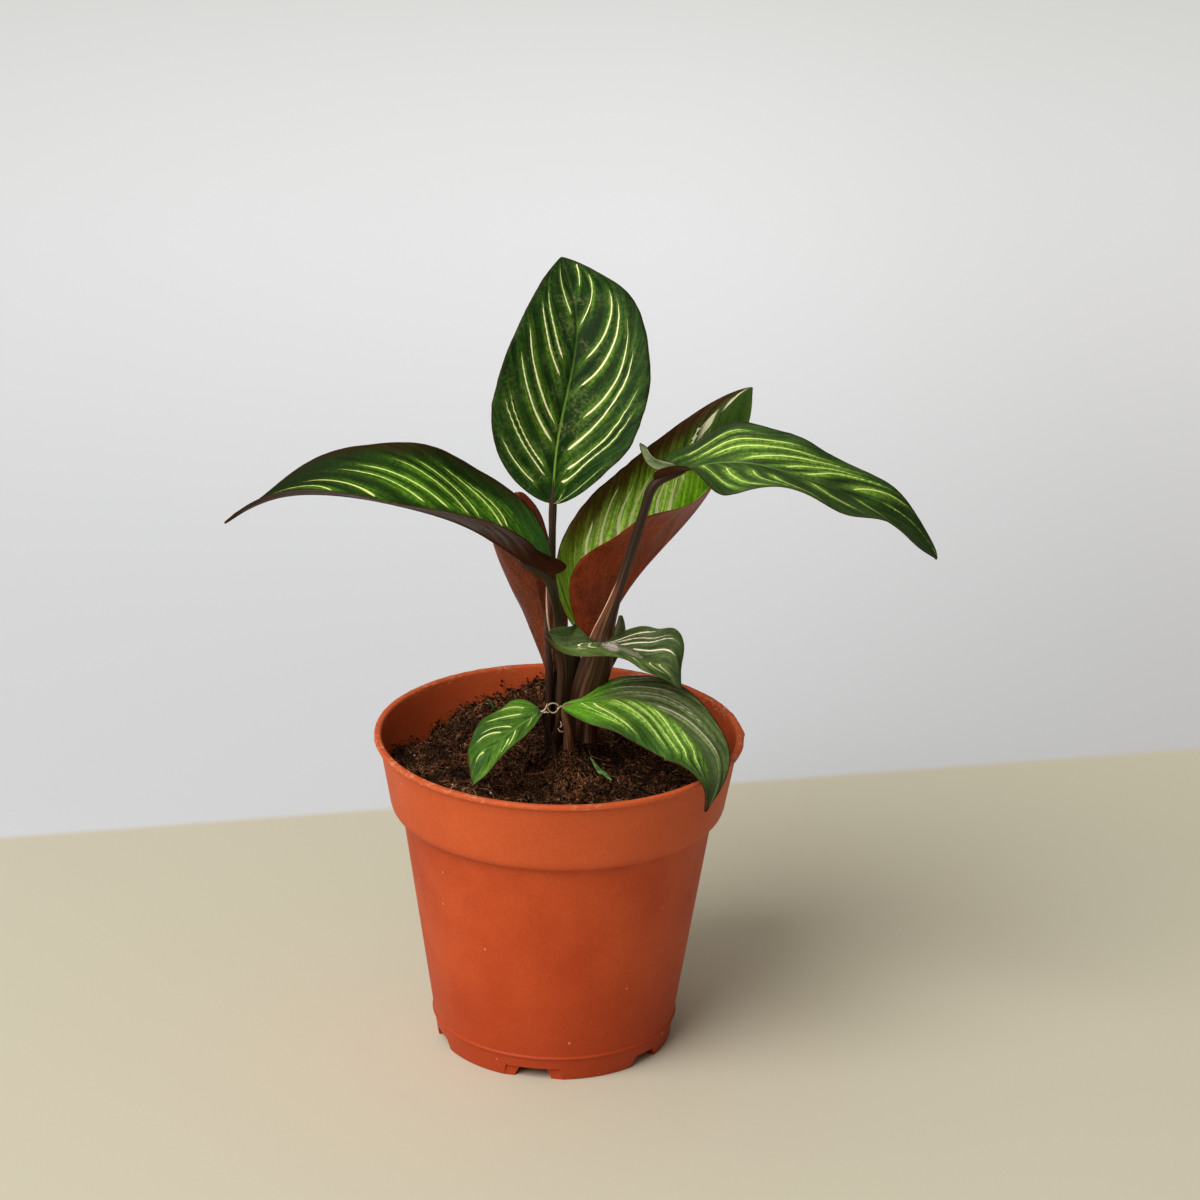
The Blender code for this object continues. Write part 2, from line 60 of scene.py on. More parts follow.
camera = bpy.data.cameras.new("camera")
camera.lens = CAMERA_LENS
camera.sensor_width = FILM_WIDTH
camera.sensor_fit = "HORIZONTAL"
camera.clip_end = 30
eye = bpy.data.objects.new("camera", camera)
bpy.context.scene.collection.objects.link(eye)
turn_down = Matrix.Rotation(math.pi / 2 - CAMERA_PITCH, 4, "X")
hang_askew = Matrix.Rotation(CAMERA_ROLL, 4, "Z")
step_back = Vector((0, -math.cos(CAMERA_PITCH), math.sin(CAMERA_PITCH))) * CAMERA_DISTANCE
stand = Matrix.Translation((Vector(CAMERA_TARGET) + step_back) * MM)
eye.matrix_world = stand @ turn_down @ hang_askew
bpy.context.scene.camera = eye
bpy.context.scene.view_settings.view_transform = "Standard"


# Floor and light
# A plain sheet of pale paper, warm where the pot stands and cool further back. A large soft lamp
# stands in front, high up on the left, a smaller one lights the paper at the back, and the pale room
# fills in the rest.

FLOOR_SIZE = 30.0  # metres
FLOOR_DROP = 0.05  # keeps the pot's foot from sharing a plane with the paper
FLOOR_NEAR = (214, 212, 196)
FLOOR_GRAIN = 5  # how much darker the grain of the warm paper is
FLOOR_BACK = (220, 227, 239)  # on the left; painted shade makes it darker on the right
FLOOR_BACK_RIGHT_SHADED = (209, 214, 225)
FLOOR_PAINTED_SHADE_SPAN = (0.02, 0.26)  # metres to the right between which painted shade darkens the cool paper
FLOOR_FAR = (240, 247, 255)
FLOOR_PAINTED_LIGHT_SPAN = (0.25, 2.2)  # metres behind the pot between which painted light brightens the cool paper
FLOOR_CHANGE = 171.5  # how far behind the pot's axis the cool paper starts
FLOOR_SLANT = 0.238  # how much further back that is for each mm to the right
FLOOR_BLUR = 3.0
LAMP_TURN = math.radians(-42)
LAMP_LIFT = math.radians(43)
LAMP_DISTANCE = 2.4  # metres
LAMP_SIZE = 2.1
LAMP_POWER = 56.0
LAMP_COLOUR = (255, 249, 240)
LAMP_AIM = 0.1
PAPER_LAMP_PLACE = (0.12, 0.75, 1.0)
PAPER_LAMP_AIM = (0.2, 2.4, 0.0)
PAPER_LAMP_SIZE = 1.0
PAPER_LAMP_POWER = 6.2
ROOM_COLOUR = (238, 230, 214)
ROOM_STRENGTH = 0.82
ROOM_LOW = 0.12  # light from the sides as a share of the light from above
ROOM_RIGHT = 0.35  # light from the right as a share of the light from the left


def light_of(colour):
    """The colour as the shaders take it, from red, green and blue from 0 to 255."""
    parts = []
    for part in colour:
        part = part / 255
        parts.append(part / 12.92 if part <= 0.04045 else ((part + 0.055) / 1.055) ** 2.4)
    return (*parts, 1.0)


def put(tree, kind, inputs=None, **settings):
    """A shader node with its settings made and its inputs set to values or linked to sockets."""
    made = tree.nodes.new(kind)
    for name, value in settings.items():
        setattr(made, name, value)
    for name, value in (inputs or {}).items():
        socket = made.inputs[name]
        if isinstance(value, bpy.types.NodeSocket):
            tree.links.new(value, socket)
        else:
            socket.default_value = value
    return made


def sum_up(tree, operation, *values):
    """The result of a Math node on values or sockets."""
    return put(tree, "ShaderNodeMath", dict(enumerate(values)), operation=operation).outputs[0]


def times(tree, product, *values):
    """The product of values or sockets."""
    for value in values:
        product = sum_up(tree, "MULTIPLY", product, value)
    return product


def plus(tree, total, *values):
    """The sum of values or sockets."""
    for value in values:
        total = sum_up(tree, "ADD", total, value)
    return total


def fade(tree, value, start, end, low=0.0, high=1.0, smooth=True):
    """A value that goes from low to high while the one it reads goes from start to end."""
    inputs = {"Value": value, "From Min": start, "From Max": end, "To Min": low, "To Max": high}
    kind = "SMOOTHSTEP" if smooth else "LINEAR"
    return put(tree, "ShaderNodeMapRange", inputs, interpolation_type=kind).outputs["Result"]


def blend(tree, share, first, second, mode="MIX"):
    """One colour laid over another by a share. Each is a socket, or red, green and blue to 255."""
    first, second = [
        colour if isinstance(colour, bpy.types.NodeSocket) else light_of(colour) for colour in (first, second)
    ]
    made = put(tree, "ShaderNodeMix", {0: share, 6: first, 7: second}, data_type="RGBA", blend_type=mode)
    return made.outputs[2]


def speckle(tree, where, scale, detail=4.0, rough=0.55, stretch=None):
    """A cloudy value from 0 to 1. Scale is patches for each unit of the place that it reads."""
    if stretch:
        where = put(tree, "ShaderNodeMapping", {"Vector": where, "Scale": stretch}).outputs[0]
    inputs = {"Vector": where, "Scale": scale, "Detail": detail, "Roughness": rough}
    return put(tree, "ShaderNodeTexNoise", inputs).outputs["Fac"]


def place_in(tree):
    """The place on the surface, in metres."""
    return put(tree, "ShaderNodeNewGeometry").outputs["Position"]


def parts_of(tree, place):
    """The parts of a place, called X, Y and Z."""
    return put(tree, "ShaderNodeSeparateXYZ", {"Vector": place}).outputs


def new_finish(name, roughness=0.5, shine=0.5):
    """A material with its node tree and its shader. Shine is the shader's own specular level."""
    finish = bpy.data.materials.new(name)
    finish.use_nodes = True
    shader = finish.node_tree.nodes["Principled BSDF"]
    shader.inputs["Roughness"].default_value = roughness
    shader.inputs["Specular IOR Level"].default_value = shine
    return finish, finish.node_tree, shader


paper, tree, shader = new_finish("pale paper", 0.8, 0.25)
place = place_in(tree)
axes = parts_of(tree, place)
depth = plus(tree, axes["Y"], times(tree, axes["X"], -FLOOR_SLANT))
change = fade(tree, depth, (FLOOR_CHANGE - FLOOR_BLUR) * MM, (FLOOR_CHANGE + FLOOR_BLUR) * MM)
grain = speckle(tree, place, 900.0)
near = blend(tree, grain, FLOOR_NEAR, [part - FLOOR_GRAIN for part in FLOOR_NEAR])
# Painted shade darkens the cool paper towards the right, and painted light brightens it further back
back = blend(tree, fade(tree, axes["X"], *FLOOR_PAINTED_SHADE_SPAN), FLOOR_BACK, FLOOR_BACK_RIGHT_SHADED)
far = blend(tree, fade(tree, axes["Y"], *FLOOR_PAINTED_LIGHT_SPAN), back, FLOOR_FAR)
tree.links.new(blend(tree, change, near, far), shader.inputs["Base Color"])

sheet = bpy.data.meshes.new("floor")
half = FLOOR_SIZE / 2
corners = [(-half, -half), (half, -half), (half, half), (-half, half)]
sheet.from_pydata([(x, y, -FLOOR_DROP * MM) for x, y in corners], [], [(0, 1, 2, 3)])
sheet.materials.append(paper)
floor = bpy.data.objects.new("floor", sheet)
bpy.context.scene.collection.objects.link(floor)


def add_lamp(name, size, power, colour, location, aim):
    """A round soft lamp that shines from one place at another, both in metres."""
    lamp = bpy.data.lights.new(name, "AREA")
    lamp.shape = "DISK"
    lamp.size = size
    lamp.energy = power
    lamp.color = light_of(colour)[:3]
    stand = bpy.data.objects.new(name, lamp)
    bpy.context.scene.collection.objects.link(stand)
    stand.location = location
    stand.rotation_euler = (Vector(aim) - Vector(location)).to_track_quat("-Z", "Y").to_euler()


level = math.cos(LAMP_LIFT) * LAMP_DISTANCE
key_place = (
    math.sin(LAMP_TURN) * level,
    -math.cos(LAMP_TURN) * level,
    math.sin(LAMP_LIFT) * LAMP_DISTANCE + LAMP_AIM,
)
add_lamp("soft lamp", LAMP_SIZE, LAMP_POWER, LAMP_COLOUR, key_place, (0, 0, LAMP_AIM))
add_lamp("paper lamp", PAPER_LAMP_SIZE, PAPER_LAMP_POWER, LAMP_COLOUR, PAPER_LAMP_PLACE, PAPER_LAMP_AIM)

room = bpy.data.worlds.new("pale room")
room.use_nodes = True
tree = room.node_tree
sky = tree.nodes["Background"]
sky.inputs["Color"].default_value = light_of(ROOM_COLOUR)
side = parts_of(tree, put(tree, "ShaderNodeTexCoord").outputs["Generated"])
above = fade(tree, side["Z"], -0.1, 0.9, ROOM_LOW * ROOM_STRENGTH, ROOM_STRENGTH)
leftward = fade(tree, side["X"], 0.6, -0.6, ROOM_RIGHT, 1.0)
tree.links.new(times(tree, above, leftward), sky.inputs["Strength"])
bpy.context.scene.world = room


# Pot
# A thin nursery pot, injection moulded in matt terracotta plastic, with a stepped band below its rim,
# a thin flash left along the lip, and a raised foot with notches and drain holes for water to leave.

RIM_RADIUS = 54.0
POT_HEIGHT = 96.0
FOOT_RADIUS = 34.9
WALL = 1.1
FLOOR_UNDERSIDE = 2.6
FLOOR_TOP = 4.4
PAD_RADIUS = 14.0
BODY_FOOT = 8.0
BODY_FOOT_RADIUS = 36.1
BODY_TAPER = 0.151
BAND_BOTTOM = 72.6
BAND_RADIUS = 49.3  # outside, just above the step
INNER_STEP = 76.2
INNER_TOP = 92.0
INNER_TOP_RADIUS = 51.0
LIP_BOTTOM = 94.3
POT_SIDES = 216
CORNER = 0.35
CORNER_STEPS = 4
NOTCHES = 6
FIRST_NOTCH = -9.4
NOTCH_HEIGHT = 3.3
NOTCH_TOP_WIDTH = 7.6
NOTCH_FOOT_WIDTH = 10.7
RECESS_WIDTH = 18.0
RECESS_DEPTH = 1.2
NOTCH_INSIDE = 30.9  # radius of the foot ring's inner face
CUT_OUTSIDE = 38.0  # radius past the foot, where the cuts start
DRAIN_RADIUS = 3.0
DRAIN_CIRCLE = 24.0
DRAIN_SIDES = 32
DRAIN_CUT = (1.0, 6.0)  # heights below and above the pot's floor
SHARP_EDGE = 34.0  # degrees
FLASH_BULGE = 0.4
FLASHES = [  # round from +X, how far it spreads, both in degrees, and how strong it is
    (2.0, 30.0, 1.0),
    (232.0, 14.0, 0.45),
    (196.0, 12.0, 0.4),
]
CLAY = (203, 84, 40)
CLAY_DEEP = (186, 70, 31)
CLAY_FOOT_SHADED = (172, 62, 27)  # painted shade towards the foot
FOOT_SHADE = 45.0  # height from which painted shade darkens the pot towards its foot
# painted sheen: the band below the rim is painted lighter, as if it caught light from the front
CLAY_BAND_SHEEN = (218, 104, 58)
CLAY_SCUFF = (232, 168, 130)
CLAY_DUST = (232, 202, 178)


def add_piece(name, points, faces, finishes, uses=None, maps=None, sharp=None):
    """A mesh object from points in millimetres. Maps are named places on the surface, by face corner."""
    mesh = bpy.data.meshes.new(name)
    mesh.from_pydata((np.asarray(points, float) * MM).tolist(), [], faces)
    for finish in finishes:
        mesh.materials.append(finish)
    if uses is not None:
        mesh.polygons.foreach_set("material_index", np.asarray(uses, np.int32))
    for label, values in (maps or {}).items():
        layer = mesh.uv_layers.new(name=label)
        layer.data.foreach_set("uv", np.asarray(values, np.float32).reshape(-1))
    mesh.shade_smooth()
    if sharp:
        mesh.set_sharp_from_angle(angle=math.radians(sharp))
    made = bpy.data.objects.new(name, mesh)
    bpy.context.scene.collection.objects.link(made)
    return made


def rounded(outline, reach, steps):
    """The outline with each inner corner eased over the reach on both sides of it."""
    outline = np.asarray(outline, float)
    eased = [outline[0]]
    for before, corner, after in zip(outline, outline[1:], outline[2:]):
        back = before - corner
        on = after - corner
        start = corner + back * min(0.45, reach / np.linalg.norm(back))
        end = corner + on * min(0.45, reach / np.linalg.norm(on))
        for k in range(steps + 1):
            share = k / steps
            bend = (1 - share) ** 2 * start + 2 * share * (1 - share) * corner + share**2 * end
            eased.append(bend)
    eased.append(outline[-1])
    return eased


def pot_profile():
    """Radius and height round the pot's section, from its underside up the outside and down the inside."""
    body_top_radius = BODY_FOOT_RADIUS + BODY_TAPER * (BAND_BOTTOM - BODY_FOOT)
    underside = [
        (0, 0), (PAD_RADIUS, 0), (PAD_RADIUS + 1.4, FLOOR_UNDERSIDE), (30.6, FLOOR_UNDERSIDE),
        (32.3, 0), (FOOT_RADIUS, 0),
    ]
    outside = [
        (35.9, 7.0), (36.5, 7.2), (36.5, 7.6), (BODY_FOOT_RADIUS, BODY_FOOT),
        (body_top_radius, BAND_BOTTOM), (46.9, 72.8), (48.2, 73.5), (48.9, 74.4),
        (BAND_RADIUS, 75.8), (52.1, 91.5), (52.7, LIP_BOTTOM - 0.1),
    ]
    lip = [
        (53.5, LIP_BOTTOM + 0.1), (RIM_RADIUS, LIP_BOTTOM + 0.4), (RIM_RADIUS, POT_HEIGHT - 0.4),
        (53.7, POT_HEIGHT), (52.4, POT_HEIGHT), (51.9, POT_HEIGHT - 0.5),
    ]
    inside = [
        (INNER_TOP_RADIUS + 0.1, INNER_TOP), (BAND_RADIUS - WALL, INNER_STEP), (47.5, 75.0),
        (46.3, 74.2), (body_top_radius - WALL, BAND_BOTTOM - 0.8), (BODY_FOOT_RADIUS - WALL, BODY_FOOT),
        (34.3, 5.4), (33.0, FLOOR_TOP), (0, FLOOR_TOP),
    ]
    return underside + outside + lip + inside


def ringed(foot, rows, head):
    """Points and faces of a closed solid: a point on the axis, rows of points round it, and a point above."""
    count = len(rows[0])
    points = [foot, *[point for row in rows for point in row], head]
    last = 1 + (len(rows) - 1) * count
    faces = []
    for k in range(count):
        following = (k + 1) % count
        faces.append((0, 1 + following, 1 + k))
        for low in range(1, last, count):
            high = low + count
            faces.append((low + k, low + following, high + following, high + k))
        faces.append((last + k, last + following, last + count))
    return points, faces


def turned(profile, sides):
    """Points and faces of a closed solid turned round Z, from the axis below to the axis above."""
    turn = 2 * np.pi * np.arange(sides) / sides
    rows = [
        list(zip(radius * np.cos(turn), radius * np.sin(turn), np.full(sides, height)))
        for radius, height in profile[1:-1]
    ]
    return ringed((0, 0, profile[0][1]), rows, (0, 0, profile[-1][1]))


def with_flash(points):
    """The lip's outer edge swells a little all round, and much more where the mould's flash stands out."""
    worked = []
    for x, y, z in points:
        radius = math.hypot(x, y)
        if z > LIP_BOTTOM and radius > 52.3:
            angle = math.atan2(y, x)
            around = Vector((math.cos(angle), math.sin(angle), z * 0.05))
            rough = noise.fractal(around * 11, 0.7, 2.2, 3)
            fine = noise.noise(around * 47)
            share = 0.0
            for place, spread, strength in FLASHES:
                apart = math.remainder(math.degrees(angle) - place, 360) / spread
                share += strength * math.exp(-apart * apart)
            swell = 0.07 * fine + FLASH_BULGE * share * (0.3 + max(0.0, rough + 0.5 * fine))
            swell += 0.1 * max(0.0, rough - 0.1)
            lift = 0.08 * fine + 0.14 * share * rough
            x *= 1 + swell / radius
            y *= 1 + swell / radius
            z = min(z + lift, POT_HEIGHT + 0.3)
        worked.append((x, y, z))
    return worked


def prism(name, outline, near, far):
    """A straight bar along Y with that outline in X and Z, for cutting."""
    count = len(outline)
    points = [(x, near, z) for x, z in outline] + [(x, far, z) for x, z in outline]
    faces = [tuple(range(count)), tuple(range(2 * count - 1, count - 1, -1))]
    for k in range(count):
        following = (k + 1) % count
        faces.append((k, k + count, following + count, following))
    return add_piece(name, points, faces, [])


def cut_out(target, cutters):
    """Cuts the cutters' shapes out of the target's mesh, and removes the cutters."""
    for cutter in cutters:
        cut = target.modifiers.new(cutter.name, "BOOLEAN")
        cut.operation = "DIFFERENCE"
        cut.solver = "EXACT"
        cut.object = cutter
    graph = bpy.context.evaluated_depsgraph_get()
    worked = bpy.data.meshes.new_from_object(target.evaluated_get(graph))
    target.modifiers.clear()
    target.data = worked
    for cutter in cutters:
        bpy.data.objects.remove(cutter, do_unlink=True)


def pot_cutters():
    """The notches through the foot, the shallow recess round every second one, and the drain holes."""
    notch = [
        (-NOTCH_FOOT_WIDTH / 2, -1.0),
        (NOTCH_FOOT_WIDTH / 2, -1.0),
        (NOTCH_FOOT_WIDTH / 2, 0.6),
        (NOTCH_TOP_WIDTH / 2 + 0.3, NOTCH_HEIGHT - 0.5),
        (NOTCH_TOP_WIDTH / 2 - 0.6, NOTCH_HEIGHT),
        (-NOTCH_TOP_WIDTH / 2 + 0.6, NOTCH_HEIGHT),
        (-NOTCH_TOP_WIDTH / 2 - 0.3, NOTCH_HEIGHT - 0.5),
        (-NOTCH_FOOT_WIDTH / 2, 0.6),
    ]
    recess = [
        (-RECESS_WIDTH / 2, -1.0),
        (RECESS_WIDTH / 2, -1.0),
        (RECESS_WIDTH / 2 - 1.0, NOTCH_HEIGHT + 0.4),
        (-RECESS_WIDTH / 2 + 1.0, NOTCH_HEIGHT + 0.4),
    ]
    cutters = []
    for k in range(NOTCHES):
        angle = math.radians(FIRST_NOTCH + k * 360 / NOTCHES)
        bars = [prism(f"notch_{k}", notch, -CUT_OUTSIDE, -NOTCH_INSIDE)]
        if k % 2 == 0:
            bars.append(prism(f"recess_{k}", recess, -CUT_OUTSIDE, RECESS_DEPTH - FOOT_RADIUS))
        for bar in bars:
            bar.rotation_euler = (0, 0, angle)
        low, high = DRAIN_CUT
        hole = [(0, low), (DRAIN_RADIUS, low), (DRAIN_RADIUS, high), (0, high)]
        points, faces = turned(hole, DRAIN_SIDES)
        drain = add_piece(f"drain_{k}", points, faces, [])
        turn = angle + math.pi / NOTCHES
        drain.location = (DRAIN_CIRCLE * math.sin(turn) * MM, -DRAIN_CIRCLE * math.cos(turn) * MM, 0)
        cutters += [*bars, drain]
    bpy.context.view_layer.update()
    return cutters


def start_group(name, inputs):
    """A node group with its named values going in."""
    group = bpy.data.node_groups.new(name, "ShaderNodeTree")
    for label, value in inputs.items():
        socket = group.interface.new_socket(label, in_out="INPUT", socket_type="NodeSocketFloat")
        socket.default_value = value
    return group, group.nodes.new("NodeGroupInput").outputs


def end_group(group, masks):
    """Gives a node group its named masks to put out."""
    for label in masks:
        group.interface.new_socket(label, in_out="OUTPUT", socket_type="NodeSocketFloat")
    result = group.nodes.new("NodeGroupOutput")
    for label, mask in masks.items():
        group.links.new(mask, result.inputs[label])


def use_group(tree, group, **inputs):
    """A group placed in a material, its inputs given with _ for each space in their names."""
    values = {label.replace("_", " "): value for label, value in inputs.items()}
    return put(tree, "ShaderNodeGroup", values, node_tree=group).outputs


def shaded(tree, colour, amount):
    """A colour made lighter or darker by an amount that changes over the surface."""
    grey = put(tree, "ShaderNodeCombineColor", {"Red": amount, "Green": amount, "Blue": amount})
    return blend(tree, 1.0, colour, grey.outputs[0], "MULTIPLY")


def dress(tree, shader, colour, height, strength, distance, roughness=None):
    """Gives a shader its colour, a relief whose distance is in millimetres, and perhaps its roughness."""
    tree.links.new(colour, shader.inputs["Base Color"])
    if roughness is not None:
        tree.links.new(roughness, shader.inputs["Roughness"])
    raised = put(tree, "ShaderNodeBump", {"Height": height, "Strength": strength, "Distance": distance * MM})
    tree.links.new(raised.outputs["Normal"], shader.inputs["Normal"])


# Dust settles on whatever stands in a greenhouse: sparse pale specks of uneven size
dust, given = start_group("dust", {"Specks": 300.0, "Share": 0.04})
cells = put(dust, "ShaderNodeTexVoronoi", {"Vector": place_in(dust), "Scale": given["Specks"]}).outputs
tint = put(dust, "ShaderNodeSeparateColor", {"Color": cells["Color"]}).outputs
present = sum_up(dust, "LESS_THAN", tint["Red"], given["Share"])
size = fade(dust, tint["Green"], 0.0, 1.0, 0.08, 0.3)
round_off = sum_up(dust, "LESS_THAN", cells["Distance"], size)
end_group(dust, {"Mask": times(dust, present, round_off)})

terracotta, tree, shader = new_finish("matt terracotta plastic", 0.5, 0.18)
place = place_in(tree)
height = parts_of(tree, place)["Z"]
cloud = speckle(tree, place, 38.0, 5.0, 0.6)
peel = speckle(tree, place, 1300.0, 3.0, 0.6)
colour = blend(tree, fade(tree, cloud, 0.3, 0.7), CLAY, CLAY_DEEP)
flow = speckle(tree, place, 26.0, 3.0, 0.5, stretch=(1.0, 1.0, 0.12))
colour = blend(tree, fade(tree, flow, 0.5, 0.8, 0.0, 0.35), colour, CLAY_DEEP)
# Painted sheen: the band above its step is lighter, standing in for a reflection from the front
upper = fade(tree, height, BAND_BOTTOM * MM, (BAND_BOTTOM + 4) * MM, 0.0, 0.45)
colour = blend(tree, upper, colour, CLAY_BAND_SHEEN)
# Painted shade: the pot grows darker towards its foot
colour = blend(tree, fade(tree, height, FOOT_SHADE * MM, 0.0, 0.0, 0.75), colour, CLAY_FOOT_SHADED)
scratch = speckle(tree, place, 1300.0, 5.0, 0.75, stretch=(0.35, 0.35, 1.0))
near_lip = fade(tree, height, (LIP_BOTTOM - 0.6) * MM, (LIP_BOTTOM + 0.8) * MM)
patchy = fade(tree, cloud, 0.4, 0.62, 0.12, 1.0)
scuffed = times(tree, fade(tree, scratch, 0.49, 0.62), near_lip, patchy)
colour = blend(tree, times(tree, scuffed, 0.75), colour, CLAY_SCUFF)
rub = times(tree, fade(tree, scratch, 0.66, 0.76), fade(tree, cloud, 0.45, 0.6), 0.25)
colour = blend(tree, rub, colour, CLAY_SCUFF)
specks = use_group(tree, dust, Specks=800.0, Share=0.008)["Mask"]
colour = blend(tree, times(tree, specks, 0.55), colour, CLAY_DUST)
colour = shaded(tree, colour, fade(tree, peel, 0.3, 0.7, 0.93, 1.06))
relief = plus(tree, times(tree, peel, 0.5), cloud, times(tree, scuffed, 1.2))
dress(tree, shader, colour, relief, 0.35, 0.12, roughness=fade(tree, cloud, 0.25, 0.75, 0.46, 0.58))

points, faces = turned(rounded(pot_profile(), CORNER, CORNER_STEPS), POT_SIDES)
pot = add_piece("nursery_pot", with_flash(points), faces, [terracotta])
cut_out(pot, pot_cutters())
pot.data.shade_smooth()
pot.data.set_sharp_from_angle(angle=math.radians(SHARP_EDGE))
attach(pot, "root")
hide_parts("pot")


# Soil
# Dark peat, pressed in round the roots to a finger's width below the rim and heaped at the stems.
# It is milled moss: crumbs and clods, brown fibres that stick out, and a few pale grains of perlite.

SOIL_LEVEL = 85.2
SOIL_FOOT = 4.8
SOIL_SIDES = 210
SOIL_RINGS = 84
SOIL_EDGE = 48.0  # radius at which the height of the peat by the wall is read
WALL_GAP = 0.4
HEAPS = [  # centre x, centre y, height, spread
    (0.0, 51.0, 6.6, 22.0),
    (3.4, -4.2, 9.2, 9.0),
    (-24.0, -6.0, 1.6, 14.0),
    (30.0, 20.0, 1.8, 18.0),
    (-42.0, 26.0, -4.6, 10.5),
]
CRUMBS = 6400
CLODS = 300
FIBRES = 1300
ROOTS = 34
WALL_CRUMBS = 620
GRAINS = 60
STRAND_GUIDE = (0.3, 0.5, 0.81)  # a direction that no strand runs in
PEAT = (82, 52, 31)
PEAT_DARK = (11, 6, 3)
PEAT_RED = (142, 90, 58)
FIBRE = (164, 114, 80)
FIBRE_PALE = (206, 168, 134)
PERLITE = (226, 220, 206)
SPROUT = (86, 134, 58)
SPROUT_PATH = [(-19.8, 37.1, 86), (-20.4, 36.8, 88.6), (-22.0, 36.0, 91.2)]

chance = np.random.default_rng(11)


def soil_height(x, y):
    """Height of the peat's surface: heaps at the back wall and the stems, a dip at the back left, clods."""
    height = SOIL_LEVEL
    for centre_x, centre_y, rise, spread in HEAPS:
        distance = math.hypot(x - centre_x, y - centre_y) / spread
        height += rise * math.exp(-distance * distance)
    clods = math.sin(0.41 * x + 1.3) * math.sin(0.37 * y - 0.4)
    crumbs = math.sin(0.9 * x + 0.5 * y) * math.cos(0.8 * y - 0.3 * x + 0.7)
    return height + 0.6 * clods + 0.35 * crumbs


def crumbly(x, y):
    """The same surface with its crumbs and pits, each level finer and lower than the last."""
    spot = Vector((x, y, 0.0))
    mounds = abs(noise.noise(spot * 0.24)) * 2.2
    clods = abs(noise.noise(spot * 0.66 + Vector((7, 3, 1)))) * 1.4
    crumbs = noise.fractal(spot * 1.9, 0.5, 2.1, 3) * 0.7
    return soil_height(x, y) - 0.7 + mounds + clods + crumbs


def inner_radius(height):
    """Radius of the pot's inner wall above the step in it."""
    share = (height - INNER_STEP) / (INNER_TOP - INNER_STEP)
    return BAND_RADIUS - WALL + share * (INNER_TOP_RADIUS - BAND_RADIUS + WALL)


def soil_body():
    """Points and faces of the filling: its sides lie just inside the wall, and its top is crumbly."""
    turn = 2 * np.pi * np.arange(SOIL_SIDES) / SOIL_SIDES
    rows = []
    for radius, height in [(32.4, SOIL_FOOT), (34.6, 8.0), (44.1, 71.5), (46.5, 74.9), (47.7, 76.4)]:
        rows.append([(radius * math.cos(a), radius * math.sin(a), height) for a in turn])
    for ring in range(SOIL_RINGS, 0, -1):
        share = ring / SOIL_RINGS
        row = []
        for a in turn:
            by_wall = soil_height(SOIL_EDGE * math.cos(a), SOIL_EDGE * math.sin(a))
            edge = inner_radius(by_wall - 0.5) - WALL_GAP
            x = edge * share * math.cos(a)
            y = edge * share * math.sin(a)
            row.append((x, y, crumbly(x, y)))
        rows.append(row)
    return ringed((0, 0, SOIL_FOOT), rows, (0, 0, crumbly(0, 0)))


def soil_spot(margin=1.5):
    """A random place on the soil, by area, clear of the wall."""
    while True:
        x, y = chance.uniform(-52, 52, 2)
        if math.hypot(x, y) < inner_radius(soil_height(x, y)) - margin:
            return x, y


# A lump starts as a ball of twenty triangles
GOLDEN = (1 + math.sqrt(5)) / 2
LUMP_POINTS = np.array([
    (-1, GOLDEN, 0), (1, GOLDEN, 0), (-1, -GOLDEN, 0), (1, -GOLDEN, 0), (0, -1, GOLDEN), (0, 1, GOLDEN),
    (0, -1, -GOLDEN), (0, 1, -GOLDEN), (GOLDEN, 0, -1), (GOLDEN, 0, 1), (-GOLDEN, 0, -1), (-GOLDEN, 0, 1),
]) / math.hypot(1, GOLDEN)
LUMP_FACES = [
    (0, 11, 5), (0, 5, 1), (0, 1, 7), (0, 7, 10), (0, 10, 11), (1, 5, 9), (5, 11, 4), (11, 10, 2),
    (10, 7, 6), (7, 1, 8), (3, 9, 4), (3, 4, 2), (3, 2, 6), (3, 6, 8), (3, 8, 9), (4, 9, 5), (2, 4, 11),
    (6, 2, 10), (8, 6, 7), (9, 8, 1),
]


def split_lump(points, faces):
    """The same round lump with each face split in four."""
    points = [np.array(p) for p in points]
    middle = {}
    split = []

    def between(a, b):
        key = (min(a, b), max(a, b))
        if key not in middle:
            point = points[a] + points[b]
            points.append(point / np.linalg.norm(point))
            middle[key] = len(points) - 1
        return middle[key]

    for a, b, c in faces:
        d, e, f = between(a, b), between(b, c), between(c, a)
        split += [(a, d, f), (d, b, e), (f, e, c), (d, e, f)]
    return np.array(points), split


def on_soil():
    """A random place on the soil's surface."""
    x, y = soil_spot()
    return x, y, crumbly(x, y)


def on_wall():
    """A random place low on the pot's inner wall at the back or the left, where peat has stuck."""
    angle = math.radians(chance.normal(112, 42))
    x, y = SOIL_EDGE * math.cos(angle), SOIL_EDGE * math.sin(angle)
    height = crumbly(x, y) + abs(chance.normal(0, 1.3)) - 0.2
    reach = inner_radius(height) - 0.3 - abs(chance.normal(0, 0.8))
    return reach * math.cos(angle), reach * math.sin(angle), min(height, POT_HEIGHT - 2)


